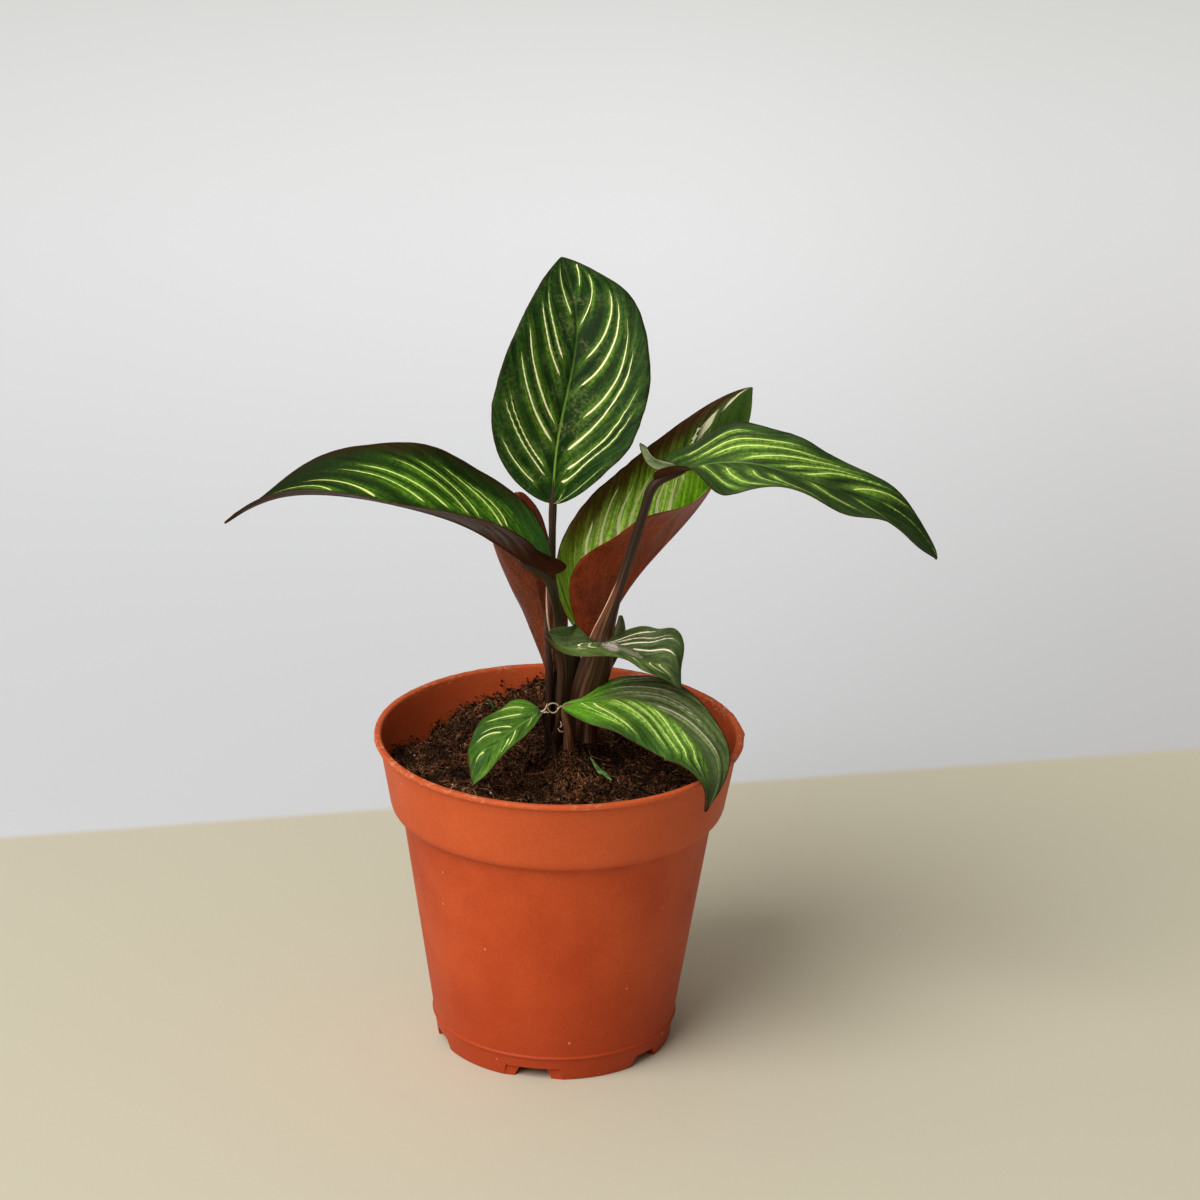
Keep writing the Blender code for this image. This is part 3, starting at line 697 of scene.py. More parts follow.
def lumps(count, smallest, largest, sink, fine=False, place=on_soil):
    """Uneven lumps, most of them small, sunk in by a share of their size. Fine ones have more faces."""
    shape, skin = split_lump(LUMP_POINTS, LUMP_FACES) if fine else (LUMP_POINTS, LUMP_FACES)
    points = []
    faces = []
    for _ in range(count):
        x, y, z = place()
        size = smallest + (largest - smallest) * chance.random() ** 3
        stretch = size * chance.uniform(0.55, 1.15, 3)
        wild = chance.uniform(0.72, 1.25, len(shape))
        turn = np.array(Matrix.Rotation(chance.uniform(0, 6.28), 3, Vector(chance.normal(size=3))))
        body = (shape * wild[:, None] * stretch) @ turn.T
        base = len(points)
        points += list(body + (x, y, z + size * (1 - sink)))
        faces += [(a + base, b + base, c + base) for a, b, c in skin]
    return points, faces


def unit(vectors):
    """The same directions, each one long."""
    return vectors / np.linalg.norm(vectors, axis=-1)[..., None]


def strand(path, radii, sides):
    """Points and faces of a thin closed strand along a path."""
    path = np.asarray(path, float)
    ahead = unit(np.gradient(path, axis=0))
    wide = unit(np.cross(ahead, STRAND_GUIDE))
    deep = np.cross(ahead, wide)
    points = []
    for here, one, two, radius in zip(path, wide, deep, radii):
        for k in range(sides):
            angle = 2 * math.pi * k / sides
            points.append(here + radius * (math.cos(angle) * one + math.sin(angle) * two))
    faces = [tuple(range(sides))[::-1]]
    for row in range(len(path) - 1):
        for k in range(sides):
            here = row * sides + k
            following = row * sides + (k + 1) % sides
            faces.append((here, following, following + sides, here + sides))
    last = (len(path) - 1) * sides
    faces.append(tuple(range(last, last + sides)))
    return points, faces


def fibres(count, lengths, bending, thickness):
    """Moss stems or thin roots that lie on the soil, each level between its two ends and a little arched."""
    points = []
    faces = []
    steps = np.linspace(0, 1, 6)
    for _ in range(count):
        x, y = soil_spot(2.0)
        length = lengths[0] + (lengths[1] - lengths[0]) * chance.random() ** 1.6
        heading = chance.uniform(0, 2 * math.pi)
        bend = chance.normal(0, bending)
        arch = abs(chance.normal(0.02, 0.06)) * length
        thick = chance.uniform(*thickness)
        path = []
        for step in steps:
            angle = heading + bend * step
            px = x + length * step * math.cos(angle)
            py = y + length * step * math.sin(angle)
            limit = inner_radius(soil_height(px, py)) - 0.8
            squeeze = min(1.0, limit / math.hypot(px, py))
            path.append([px * squeeze, py * squeeze, 0.0])
        ends = [crumbly(*path[k][:2]) + abs(chance.normal(0.05, 0.3)) for k in (0, -1)]
        for step, here in zip(steps, path):
            level = ends[0] + (ends[1] - ends[0]) * step + 4 * step * (1 - step) * arch
            here[2] = max(level, crumbly(*here[:2]) - 0.15)
        body, skin = strand(path, thick * (1 - 0.5 * steps), 4)
        base = len(points)
        points += body
        faces += [tuple(corner + base for corner in face) for face in skin]
    return points, faces


def peat_finish(name, dark, plain, red, red_share, bump):
    """Peat in one finish: colour differs from lump to lump and across each one."""
    finish, tree, shader = new_finish(name, 0.95, 0.12)
    ground = put(tree, "ShaderNodeNewGeometry").outputs
    place = ground["Position"]
    fine = speckle(tree, place, 1500.0, 4.0, 0.75)
    coarse = speckle(tree, place, 300.0, 4.0, 0.6)
    colour = blend(tree, fade(tree, fine, 0.42, 0.6), dark, plain)
    lump = fade(tree, ground["Random Per Island"], 1.0 - red_share, 1.0)
    flecks = times(tree, fade(tree, coarse, 0.42, 0.6), fade(tree, fine, 0.52, 0.62), 0.7)
    colour = blend(tree, sum_up(tree, "MAXIMUM", flecks, times(tree, lump, 0.8)), colour, red)
    specks = use_group(tree, dust, Specks=1200.0, Share=0.035)["Mask"]
    colour = blend(tree, times(tree, specks, 0.6), colour, FIBRE_PALE)
    patches = speckle(tree, place, 110.0, 4.0, 0.65)
    colour = shaded(tree, colour, fade(tree, patches, 0.38, 0.62, 0.36, 1.42))
    dress(tree, shader, colour, plus(tree, fine, coarse), 0.9, bump)
    return finish


peat = peat_finish("milled peat", PEAT_DARK, PEAT, PEAT_RED, 0.0, 0.5)
loose_peat = peat_finish("loose peat", PEAT_DARK, PEAT, PEAT_RED, 0.3, 0.25)
root_brown = peat_finish("root fibre", PEAT_RED, FIBRE, FIBRE_PALE, 0.45, 0.1)
white_grain = peat_finish("perlite", FIBRE_PALE, PERLITE, PERLITE, 0.5, 0.15)

filling = add_piece("peat_filling", *soil_body(), [peat])
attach(filling, "root")
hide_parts("soil")
LOOSE = [
    ("peat_crumbs", lumps(CRUMBS, 0.12, 0.7, sink=0.5), loose_peat),
    ("peat_clods", lumps(CLODS, 0.6, 1.9, sink=0.7, fine=True), loose_peat),
    ("wall_crumbs", lumps(WALL_CRUMBS, 0.12, 0.52, sink=0.5, place=on_wall), loose_peat),
    ("peat_fibres", fibres(FIBRES, (1.0, 4.6), bending=0.3, thickness=(0.035, 0.085)), root_brown),
    ("thin_roots", fibres(ROOTS, (4.0, 9.0), bending=0.7, thickness=(0.08, 0.15)), root_brown),
    ("perlite_grains", lumps(GRAINS, 0.1, 0.42, sink=0.45, fine=True), white_grain),
]
for name, (points, faces), finish in LOOSE:
    piece = add_piece(name, points, faces, [finish], sharp=50)
    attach(piece, "root")


def flecked_finish(name, first, second, scale, relief, roughness=0.5, detail=4.0, rough=0.6, share=None,
                   stretch=None):
    """Two colours in fine flecks, and a relief from the same flecks: its strength and its depth."""
    finish, tree, shader = new_finish(name, roughness)
    flecks = speckle(tree, place_in(tree), scale, detail, rough, stretch)
    colour = blend(tree, fade(tree, flecks, *share) if share else flecks, first, second)
    dress(tree, shader, colour, flecks, *relief)
    return finish


sprouting = flecked_finish(
    "moss sprout", SPROUT, [part * 0.6 for part in SPROUT], 900.0, (0.5, 0.1), rough=0.55,
)
sprout = add_piece("moss_sprout", *strand(SPROUT_PATH, (0.5, 0.4, 0.12), 8), [sprouting])
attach(sprout, "root")


# Top leaf
# The youngest full leaf stands up and faces forward: a thin blade, dark green with pale pin stripes
# between its side veins, wine red behind. Its petiole runs on behind the blade as the midrib.

BLADE_ROWS = 140
BLADE_COLUMNS = 47
MIDRIB_CROWDING = 1.25  # draws the columns together at the midrib
END_CROWDING = 0.4
END_HALF_WIDTH = 0.8
TIP_HALF_WIDTH = 0.2
LOBE_LIFT = 0.6
HALF_THICKNESS = 0.16
MARGIN_THICKNESS = 0.07
GROOVE = 0.3
RIDGE = 0.55
RIB_WIDTH = 0.6
PLEAT = 0.13
BUCKLE = 0.22  # how far a blade strays from flat between its veins
STEM_SIDES = 26
STEM_ROWS = 90
STEM_UNEVEN = 0.05
UNDER_RIB = (0.012, 0.05, 0.1)  # shares of the midrib that the stem runs on below
UNDER_DROP = (0.5, 0.55, 0.5)
SHEATH_LIFT = 0.28
SHEATH_SLOPES = (0.9, 0.12)  # how gently it rises on one side of its edge, and falls on the other
KNEE_SWELL = 0.12
KNEE_PLACE = 4.0  # below the joint with the blade
KNEE_SPREAD = 3.5
LEAF_DARK = (26, 48, 16)
LEAF_GREEN = (48, 82, 28)
LEAF_GLOW = (92, 140, 40)
LEAF_ROUGHNESS = 0.5
STRIPE = (255, 255, 204)
STRIPE_PINK = (255, 218, 204)
RIB_GREEN = (112, 142, 66)
MARGIN_RED = (62, 30, 18)
LEAF_WORN = (106, 112, 74)
BACK_RED = (104, 44, 26)
BACK_DARK = (54, 24, 14)
BACK_ROUGHNESS = 0.45
STEM_WINE = (46, 28, 18)
STEM_OLIVE = (44, 32, 20)
# the colour of the painted highlight bands along the lower stems
STEM_LIT = (110, 80, 60)
STEM_ROUGHNESS = 0.42
SHEATH_EDGE = (240, 206, 176)
SHEATH_RED = (120, 66, 44)


def spline(knots, values, at):
    """A natural cubic spline through values at the knots, read at the places asked for."""
    knots = np.asarray(knots, float)
    values = np.asarray(values, float)
    flat = (-1,) + (1,) * (values.ndim - 1)
    gaps = np.diff(knots)
    slopes = np.diff(values, axis=0) / gaps.reshape(flat)
    matrix = np.eye(len(knots))
    bends = np.zeros_like(values)
    for k in range(1, len(knots) - 1):
        matrix[k, k - 1 : k + 2] = gaps[k - 1], 2 * (gaps[k - 1] + gaps[k]), gaps[k]
        bends[k] = 6 * (slopes[k] - slopes[k - 1])
    bends = np.linalg.solve(matrix, bends)
    at = np.asarray(at, float)
    span = np.clip(np.searchsorted(knots, at) - 1, 0, len(gaps) - 1)
    gap = gaps[span].reshape(flat)
    high = ((at - knots[span]) / gaps[span]).reshape(flat)
    low = 1 - high
    curve = (low**3 - low) * bends[span] + (high**3 - high) * bends[span + 1]
    return low * values[span] + high * values[span + 1] + curve * gap**2 / 6


def evenly(values, at):
    """A spline through values that are spaced evenly from 0 to 1."""
    return spline(np.linspace(0, 1, len(values)), values, at)


def along(points, at):
    """Points and unit directions at shares of the length of a smooth curve, and its length."""
    points = np.asarray(points, float)
    steps = np.linalg.norm(np.diff(points, axis=0), axis=1)
    knots = np.append(0, np.cumsum(steps))
    fine = np.linspace(0, knots[-1], 241)
    dense = spline(knots, points, fine)
    length = np.append(0, np.cumsum(np.linalg.norm(np.diff(dense, axis=0), axis=1)))
    place = np.interp(np.asarray(at) * length[-1], length, fine)
    step = 0.002 * knots[-1]
    ahead = spline(knots, points, np.minimum(place + step, knots[-1]))
    behind = spline(knots, points, np.maximum(place - step, 0))
    return spline(knots, points, place), unit(ahead - behind), length[-1]


# A leaf's table gives the points of its midrib, the way that its face looks along it, the width of its
# left and right half, and how its outline rises and falls. For each half it gives the fold in degrees, and
# may give a curl, a wave (height, count, start), a lobe at its foot (how far back, over what share), a
# notch (how deep, where, how wide), a trim (factors on the width) and the bow of its stripes.
NO_CURL = ([0, 0], [0, 0])
NO_WAVE = ((0, 1, 0), (0, 1, 0))
NO_LOBE = ((0, 0.1), (0, 0.1))
NO_NOTCH = ((0, 0.5, 0.1), (0, 0.5, 0.1))
NO_TRIM = ([1, 1], [1, 1])
UNEVEN = 0.014


def leaf_frame(leaf, share):
    """Places on the midrib, and which way is ahead, up and right there."""
    middle, ahead, _ = along(leaf["spine"], share)
    facing = evenly(leaf["face"], share)
    up = unit(facing - (facing * ahead).sum(axis=1)[:, None] * ahead)
    return middle, ahead, up, np.cross(ahead, up)


def half_width(leaf, side, share):
    """Width of one half of the blade along it, in millimetres."""
    base, tip = leaf["shape"]
    widest = base / (base + tip)
    form = share**base * (1 - share) ** tip / (widest**base * (1 - widest) ** tip)
    sharpen = np.clip((share - 0.9) / 0.1, 0, 1)
    end = END_HALF_WIDTH + (TIP_HALF_WIDTH - END_HALF_WIDTH) * sharpen
    lost, where, spread = leaf.get("notch", NO_NOTCH)[side]
    width = (leaf["half"][side] * form + end) * (1 - lost * np.exp(-(((share - where) / spread) ** 2)))
    start = leaf["spine"][0][2] + 31.7 * side
    rough = [noise.fractal(Vector((9 * spot, start, 0)), 0.6, 2.2, 3) for spot in np.ravel(share)]
    trim = evenly(leaf.get("trim", NO_TRIM)[side], np.ravel(share)) * (1 + UNEVEN * np.array(rough))
    return width * trim.reshape(np.shape(share))


def leaf_surface(leaf, share, reach):
    """The middle surface of a blade: rows at shares of the midrib, columns from -1 (left margin) to 1."""
    mid, ahead, up, right = leaf_frame(leaf, share)
    points = np.empty((len(share), len(reach), 3))
    for column, place in enumerate(reach):
        side = int(place >= 0)
        sign = 1 if side else -1
        out = abs(place)
        width = half_width(leaf, side, share)
        fold = np.radians(evenly(leaf["fold"][side], share))
        curl = np.radians(evenly(leaf.get("curl", NO_CURL)[side], share))
        curl = np.where(abs(curl) < 1e-6, 1e-6, curl)
        tilt = fold + curl * out
        across = (np.sin(tilt) - np.sin(fold)) / curl * width
        rise = (np.cos(fold) - np.cos(tilt)) / curl * width
        height, count, start = leaf.get("wave", NO_WAVE)[side]
        ripple = height * out**2 * np.sin(2 * np.pi * (count * share + start)) * np.sin(np.pi * share)
        across = across - np.sin(tilt) * ripple
        rise = rise + np.cos(tilt) * ripple
        lobe, lobe_share = leaf.get("lobe", NO_LOBE)[side]
        through = np.clip(share / lobe_share, 0, 1)
        back = lobe * out * (27 / 4) * through * (1 - through) ** 2  # most a third of the way through
        rise = rise + LOBE_LIFT * back
        sideways = (sign * across)[:, None] * right
        points[:, column] = mid + sideways + rise[:, None] * up - back[:, None] * ahead
    return points


def rising_count(knots, at):
    """A smooth count that passes 0, 1, 2 and so on at the knots and never falls, and its slope there."""
    gaps = np.diff(knots)
    rate = 1 / gaps
    slope = np.concatenate([rate[:1], 2 * rate[:-1] * rate[1:] / (rate[:-1] + rate[1:]), rate[-1:]])
    span = np.clip(np.searchsorted(knots, at) - 1, 0, len(gaps) - 1)
    gap = gaps[span]
    u = np.clip((at - knots[span]) / gap, 0, 1)
    count = span + 3 * u**2 - 2 * u**3
    count = count + gap * ((u**3 - 2 * u**2 + u) * slope[span] + (u**3 - u**2) * slope[span + 1])
    count = count + np.minimum(at - knots[0], 0) * slope[0] + np.maximum(at - knots[-1], 0) * slope[-1]
    return np.clip(count, -0.49, len(knots) - 0.51), slope


def stripe_maps(leaf, side, share, out):
    """Places on one half of a blade as its stripes see them, row by row and column by column.

    Each stripe runs from a reach and a share near the midrib to a reach and a share near the margin.
    """
    stripes = np.array(leaf["stripes"][side], float)
    starts, start_shares, ends, end_shares = stripes.T
    bows = np.linspace(*leaf.get("bow", ((-0.03, -0.03), (-0.03, -0.03)))[side], len(stripes))
    length = along(leaf["spine"], [0])[2]
    width = leaf["half"][side]
    run_out = (ends - starts) * width
    run_on = (end_shares - start_shares) * length
    lean = run_out / np.hypot(run_out, run_on)
    count = np.empty((len(share), len(out)))
    spacing = np.empty_like(count)
    for column, reach in enumerate(out):
        u = (reach - starts) / (ends - starts)
        inside = np.clip(u, 0, 1)
        knots = start_shares + (end_shares - start_shares) * u + 4 * bows * inside * (1 - inside)
        for k in range(1, len(knots)):
            knots[k] = max(knots[k], knots[k - 1] + 0.013)
        count[:, column], slope = rising_count(knots, share)
        spacing[:, column] = np.interp(count[:, column], range(len(stripes)), length * lean / slope)
    nearest = np.clip(count, 0, len(stripes) - 1)
    ordinal = range(len(stripes))
    reaches = np.stack([np.interp(nearest, ordinal, starts), np.interp(nearest, ordinal, ends)], -1)
    sweep = np.mean((end_shares - start_shares) / (ends - starts))
    grid_share, grid_out = np.meshgrid(share, out, indexing="ij")
    across = (grid_share - sweep * grid_out) * length * lean.mean()
    outward = grid_out * half_width(leaf, side, np.clip(grid_share, 0.001, 0.999))
    return {
        "count": np.stack([count, spacing], -1),
        "reaches": reaches,
        "sweep": np.stack([across, outward], -1),
        "place": np.stack([grid_out * (2 * side - 1), grid_share], -1),
    }


def make_blade(name, leaf, upper, lower):
    """A blade with its stripes mapped, its side veins pleated, a grooved midrib and thin margins."""
    even = np.linspace(0, 1, BLADE_ROWS)
    share = even - END_CROWDING * np.sin(2 * np.pi * even) / (2 * np.pi)
    reach = np.linspace(-1, 1, BLADE_COLUMNS)
    reach = np.sign(reach) * abs(reach) ** MIDRIB_CROWDING
    centre = BLADE_COLUMNS // 2
    maps = [stripe_maps(leaf, side, share, abs(reach)) for side in (0, 1)]
    middle = leaf_surface(leaf, share, reach)
    outward = unit(np.cross(np.gradient(middle, axis=1), np.gradient(middle, axis=0)))
    left = (np.arange(BLADE_COLUMNS) < centre)[None, :]
    count = np.where(left, maps[0]["count"][..., 0], maps[1]["count"][..., 0])
    from_rib = np.where(left, maps[0]["sweep"][..., 1], maps[1]["sweep"][..., 1])
    out = abs(reach)[None, :]
    clear = np.clip(out / 0.2, 0, 1) * np.clip((1 - out) / 0.15, 0, 1)
    pleat = leaf.get("pleat", PLEAT) * np.cos(2 * np.pi * count) * clear
    for row in range(BLADE_ROWS):
        for column in range(BLADE_COLUMNS):
            spot = Vector(middle[row, column])
            pleat[row, column] += BUCKLE * noise.noise(spot * 0.14) * clear[0, column]
    thin = HALF_THICKNESS + (MARGIN_THICKNESS - HALF_THICKNESS) * out**3
    fading = (1 - 0.75 * share)[:, None]
    rib = np.exp(-((from_rib / RIB_WIDTH) ** 2))
    top = pleat + thin - GROOVE * fading * rib
    bottom = pleat - thin - RIDGE * fading * rib
    above = (middle + outward * top[..., None]).reshape(-1, 3)
    below = (middle + outward * bottom[..., None]).reshape(-1, 3)
    size = BLADE_ROWS * BLADE_COLUMNS
    corner = np.arange(size).reshape(BLADE_ROWS, BLADE_COLUMNS)
    a, b = corner[:-1, :-1], corner[:-1, 1:]
    c, d = corner[1:, 1:], corner[1:, :-1]
    top_faces = np.stack([a, b, c, d], -1).reshape(-1, 4)
    rim = [*corner[0, :-1], *corner[:-1, -1], *corner[-1, :0:-1], *corner[:0:-1, 0]]
    rim = np.array([(rim[(k + 1) % len(rim)], here) for k, here in enumerate(rim)])
    rim_faces = np.stack([rim[:, 0], rim[:, 1], rim[:, 1] + size, rim[:, 0] + size], -1)
    faces = np.concatenate([top_faces, top_faces[:, ::-1] + size, rim_faces])
    uses = np.repeat([0, 1, 1], [len(top_faces), len(top_faces), len(rim_faces)])
    # Each face reads the stripes of its own half, so the two halves meet sharply at the midrib
    column_of = (faces % size) % BLADE_COLUMNS
    on_right = column_of.min(axis=1) >= centre
    row_of = (faces % size) // BLADE_COLUMNS
    placed = {}
    for label in maps[0]:
        halves = [maps[side][label][row_of, column_of] for side in (0, 1)]
        placed[label] = np.where(on_right[:, None, None], halves[1], halves[0])
    points = np.concatenate([above, below])
    return add_piece(name, points, faces.tolist(), [upper, lower], uses, placed)


def transported(path, ahead, first):
    """A direction across a path that turns with it and never spins round it."""
    wide = np.empty_like(path)
    wide[-1] = unit(np.array(first, float) - (first @ ahead[-1]) * ahead[-1])
    for k in range(len(path) - 2, -1, -1):
        wide[k] = unit(wide[k + 1] - (wide[k + 1] @ ahead[k]) * ahead[k])
    return wide


def make_stem(name, stem, leaf, finish):
    """A petiole with its sheath. It runs on below the midrib for a little way, and thins out there.

    Its table gives the path down from the blade, radii spaced evenly along it, how deep it is for its
    width, how far round its sheath's edge lies, in degrees, and the shares of it where that edge shows.
    """
    middle, _, up, _ = leaf_frame(leaf, np.array(UNDER_RIB))
    under = middle - up * np.array(UNDER_DROP)[:, None]
    path = [under[2], under[1], under[0], *[np.array(p, float) for p in stem["path"][1:]]]
    share = np.linspace(0, 1, STEM_ROWS) ** 1.15
    centre, ahead, length = along(path, share)
    joined = np.linalg.norm(under[0] - under[2]) / length
    below = np.clip((share - joined) / (1 - joined), 0, 1)
    radius = evenly(stem["radii"], below) * np.clip(0.35 + 0.65 * share / joined, 0.35, 1)
    radius = radius * (1 + KNEE_SWELL * np.exp(-(((below * length - KNEE_PLACE) / KNEE_SPREAD) ** 2)))
    flat = stem.get("depth", 1.0)
    depth = radius * (1 + (flat - 1) * np.clip(below / 0.3, 0, 1))
    wide = transported(centre, ahead, np.array([1.0, 0.0, 0.0]))
    deep = np.cross(ahead, wide)
    turn = 2 * np.pi * np.arange(STEM_SIDES) / STEM_SIDES
    edge_turn = np.radians(evenly(stem.get("edge", (250, 250)), below))
    edge_top, edge_foot = stem.get("edge_span", (0.5, 0.95))
    strength = np.clip((below - edge_top) / 0.04, 0, 1) * np.clip((edge_foot - below) / 0.1, 0, 1)
    apart = (turn[None, :] - edge_turn[:, None] + np.pi) % (2 * np.pi) - np.pi
    rise, fall = SHEATH_SLOPES
    step = np.where(apart > 0, np.exp(-apart / rise), np.exp(apart / fall))
    grown = SHEATH_LIFT * strength[:, None] * step
    for row in range(STEM_ROWS):
        for k in range(STEM_SIDES):
            spot = Vector((math.cos(turn[k]), math.sin(turn[k]), length * share[row] * 0.05))
            grown[row, k] += STEM_UNEVEN * radius[row] * noise.noise(spot * 1.9)
    sideways = ((radius[:, None] + grown) * np.cos(turn))[..., None] * wide[:, None, :]
    inward = ((depth[:, None] + grown) * np.sin(turn))[..., None] * deep[:, None, :]
    points = (centre[:, None, :] + sideways + inward).reshape(-1, 3)
    faces = []
    places = []
    edges = []
    # Each corner keeps the turn round the stem, the share along it, and how far the sheath's edge is
    for row in range(STEM_ROWS - 1):
        for k in range(STEM_SIDES):
            here = row * STEM_SIDES + k
            following = row * STEM_SIDES + (k + 1) % STEM_SIDES
            faces.append((here, following, following + STEM_SIDES, here + STEM_SIDES))
            gap = apart[row, k]
            next_gap = gap + math.remainder(apart[row + 1, k] - gap, 2 * np.pi)
            corners = ((row, 0, gap), (row, 1, gap), (row + 1, 1, next_gap), (row + 1, 0, next_gap))
            for at_row, on, turned_by in corners:
                places.append(((k + on) / STEM_SIDES, below[at_row]))
                turned_by = turned_by + on * 2 * np.pi / STEM_SIDES
                edges.append((turned_by * radius[at_row], strength[at_row]))
    for row, order in ((0, range(STEM_SIDES - 1, -1, -1)), (STEM_ROWS - 1, range(STEM_SIDES))):
        faces.append(tuple(row * STEM_SIDES + k for k in order))
        places += [(k / STEM_SIDES, below[row]) for k in order]
        edges += [(9.0, 0.0)] * STEM_SIDES
    return add_piece(name, points, faces, [finish], maps={"place": places, "edge": edges})


def map_in(tree, label):
    """A place that a piece's own map gives for each point of its surface."""
    return put(tree, "ShaderNodeUVMap", uv_map=label).outputs["UV"]


def build_stripe_group():
    """Where the stripes, the glow beside them, the midrib and the margin lie, and streaks along the veins."""
    inputs = {"Stripe Width": 0.45, "Glow Width": 2.2, "Ragged": 0.16, "Seed": 0.0}
    group, given = start_group("pin stripes", inputs)
    count, spacing, _ = parts_of(group, map_in(group, "count"))
    start, end, _ = parts_of(group, map_in(group, "reaches"))
    across, share, _ = parts_of(group, map_in(group, "place"))
    out = sum_up(group, "ABSOLUTE", across)
    sweep = map_in(group, "sweep")
    outward = parts_of(group, sweep)["Y"]
    shift = put(group, "ShaderNodeCombineXYZ", {axis: given["Seed"] for axis in "XYZ"}).outputs[0]
    moved = put(group, "ShaderNodeVectorMath", {0: sweep, 1: shift}, operation="ADD").outputs[0]
    # Each stripe has a number, and lots drawn by that number make it wider or narrower, paler or pinker
    number = sum_up(group, "FLOOR", plus(group, count, 0.5))
    key = plus(group, number, given["Seed"])
    lot = put(group, "ShaderNodeTexWhiteNoise", {"W": key}, noise_dimensions="1D")
    drawn = put(group, "ShaderNodeSeparateColor", {"Color": lot.outputs["Color"]}).outputs
    aside = times(group, sum_up(group, "SUBTRACT", count, number), spacing)
    wander = sum_up(group, "SUBTRACT", speckle(group, moved, 1.0, 3.0, 0.6, (0.9, 0.5, 1.0)), 0.5)
    distance = sum_up(group, "ABSOLUTE", plus(group, aside, times(group, wander, given["Ragged"])))
    whole = sum_up(group, "SUBTRACT", end, start)
    along_it = sum_up(group, "DIVIDE", sum_up(group, "SUBTRACT", out, start), whole)
    along_it = plus(group, along_it, times(group, wander, 0.12))
    taper = times(group, fade(group, along_it, -0.01, 0.1), fade(group, along_it, 1.02, 0.82))
    wide = fade(group, drawn["Red"], 0.0, 1.0, 0.75, 1.25, smooth=False)
    wide = times(group, wide, given["Stripe Width"])
    thick = fade(group, speckle(group, moved, 1.0, 2.0, 0.5, (0.4, 0.22, 1.0)), 0.3, 0.7, 0.75, 1.2)
    half_wide = times(group, wide, times(group, thick, taper), 0.5)
    within = fade(group, sum_up(group, "SUBTRACT", distance, half_wide), 0.06, -0.06)
    near = fade(group, sum_up(group, "DIVIDE", distance, given["Glow Width"]), 1.0, 0.0)
    spread = times(group, fade(group, along_it, -0.25, 0.2), fade(group, along_it, 1.2, 0.7))
    cloud = fade(group, speckle(group, moved, 1.0, 5.0, 0.7, (0.8, 0.14, 1.0)), 0.36, 0.6, 0.15, 1.0)
    pink = times(group, plus(group, drawn["Green"], fade(group, along_it, 0.6, 0.0)), 0.6)
    half_blade = sum_up(group, "DIVIDE", outward, sum_up(group, "MAXIMUM", out, 0.3))
    inward = sum_up(group, "SUBTRACT", half_blade, outward)
    end_group(group, {
        "Stripe": times(group, within, sum_up(group, "GREATER_THAN", taper, 0.02)),
        "Glow": times(group, near, spread, cloud),
        "Pink": sum_up(group, "MINIMUM", pink, 1.0),
        "Midrib": times(group, fade(group, outward, 0.46, 0.16), fade(group, share, 0.7, 0.1, 0.1, 1.0)),
        "Margin": times(group, fade(group, inward, 0.45, 0.12), fade(group, out, 0.4, 0.6)),
        "Feather": times(group, fade(group, distance, 1.2, 3.0), fade(group, out, 0.6, 0.1)),
        "Streaks": speckle(group, moved, 1.0, 4.0, 0.6, (0.55, 0.06, 1.0)),
        "Veins": speckle(group, moved, 1.0, 4.0, 0.75, (1.5, 0.05, 1.0)),
        "Right Half": sum_up(group, "GREATER_THAN", across, 0.0),
    })
    return group


pin_stripes = build_stripe_group()


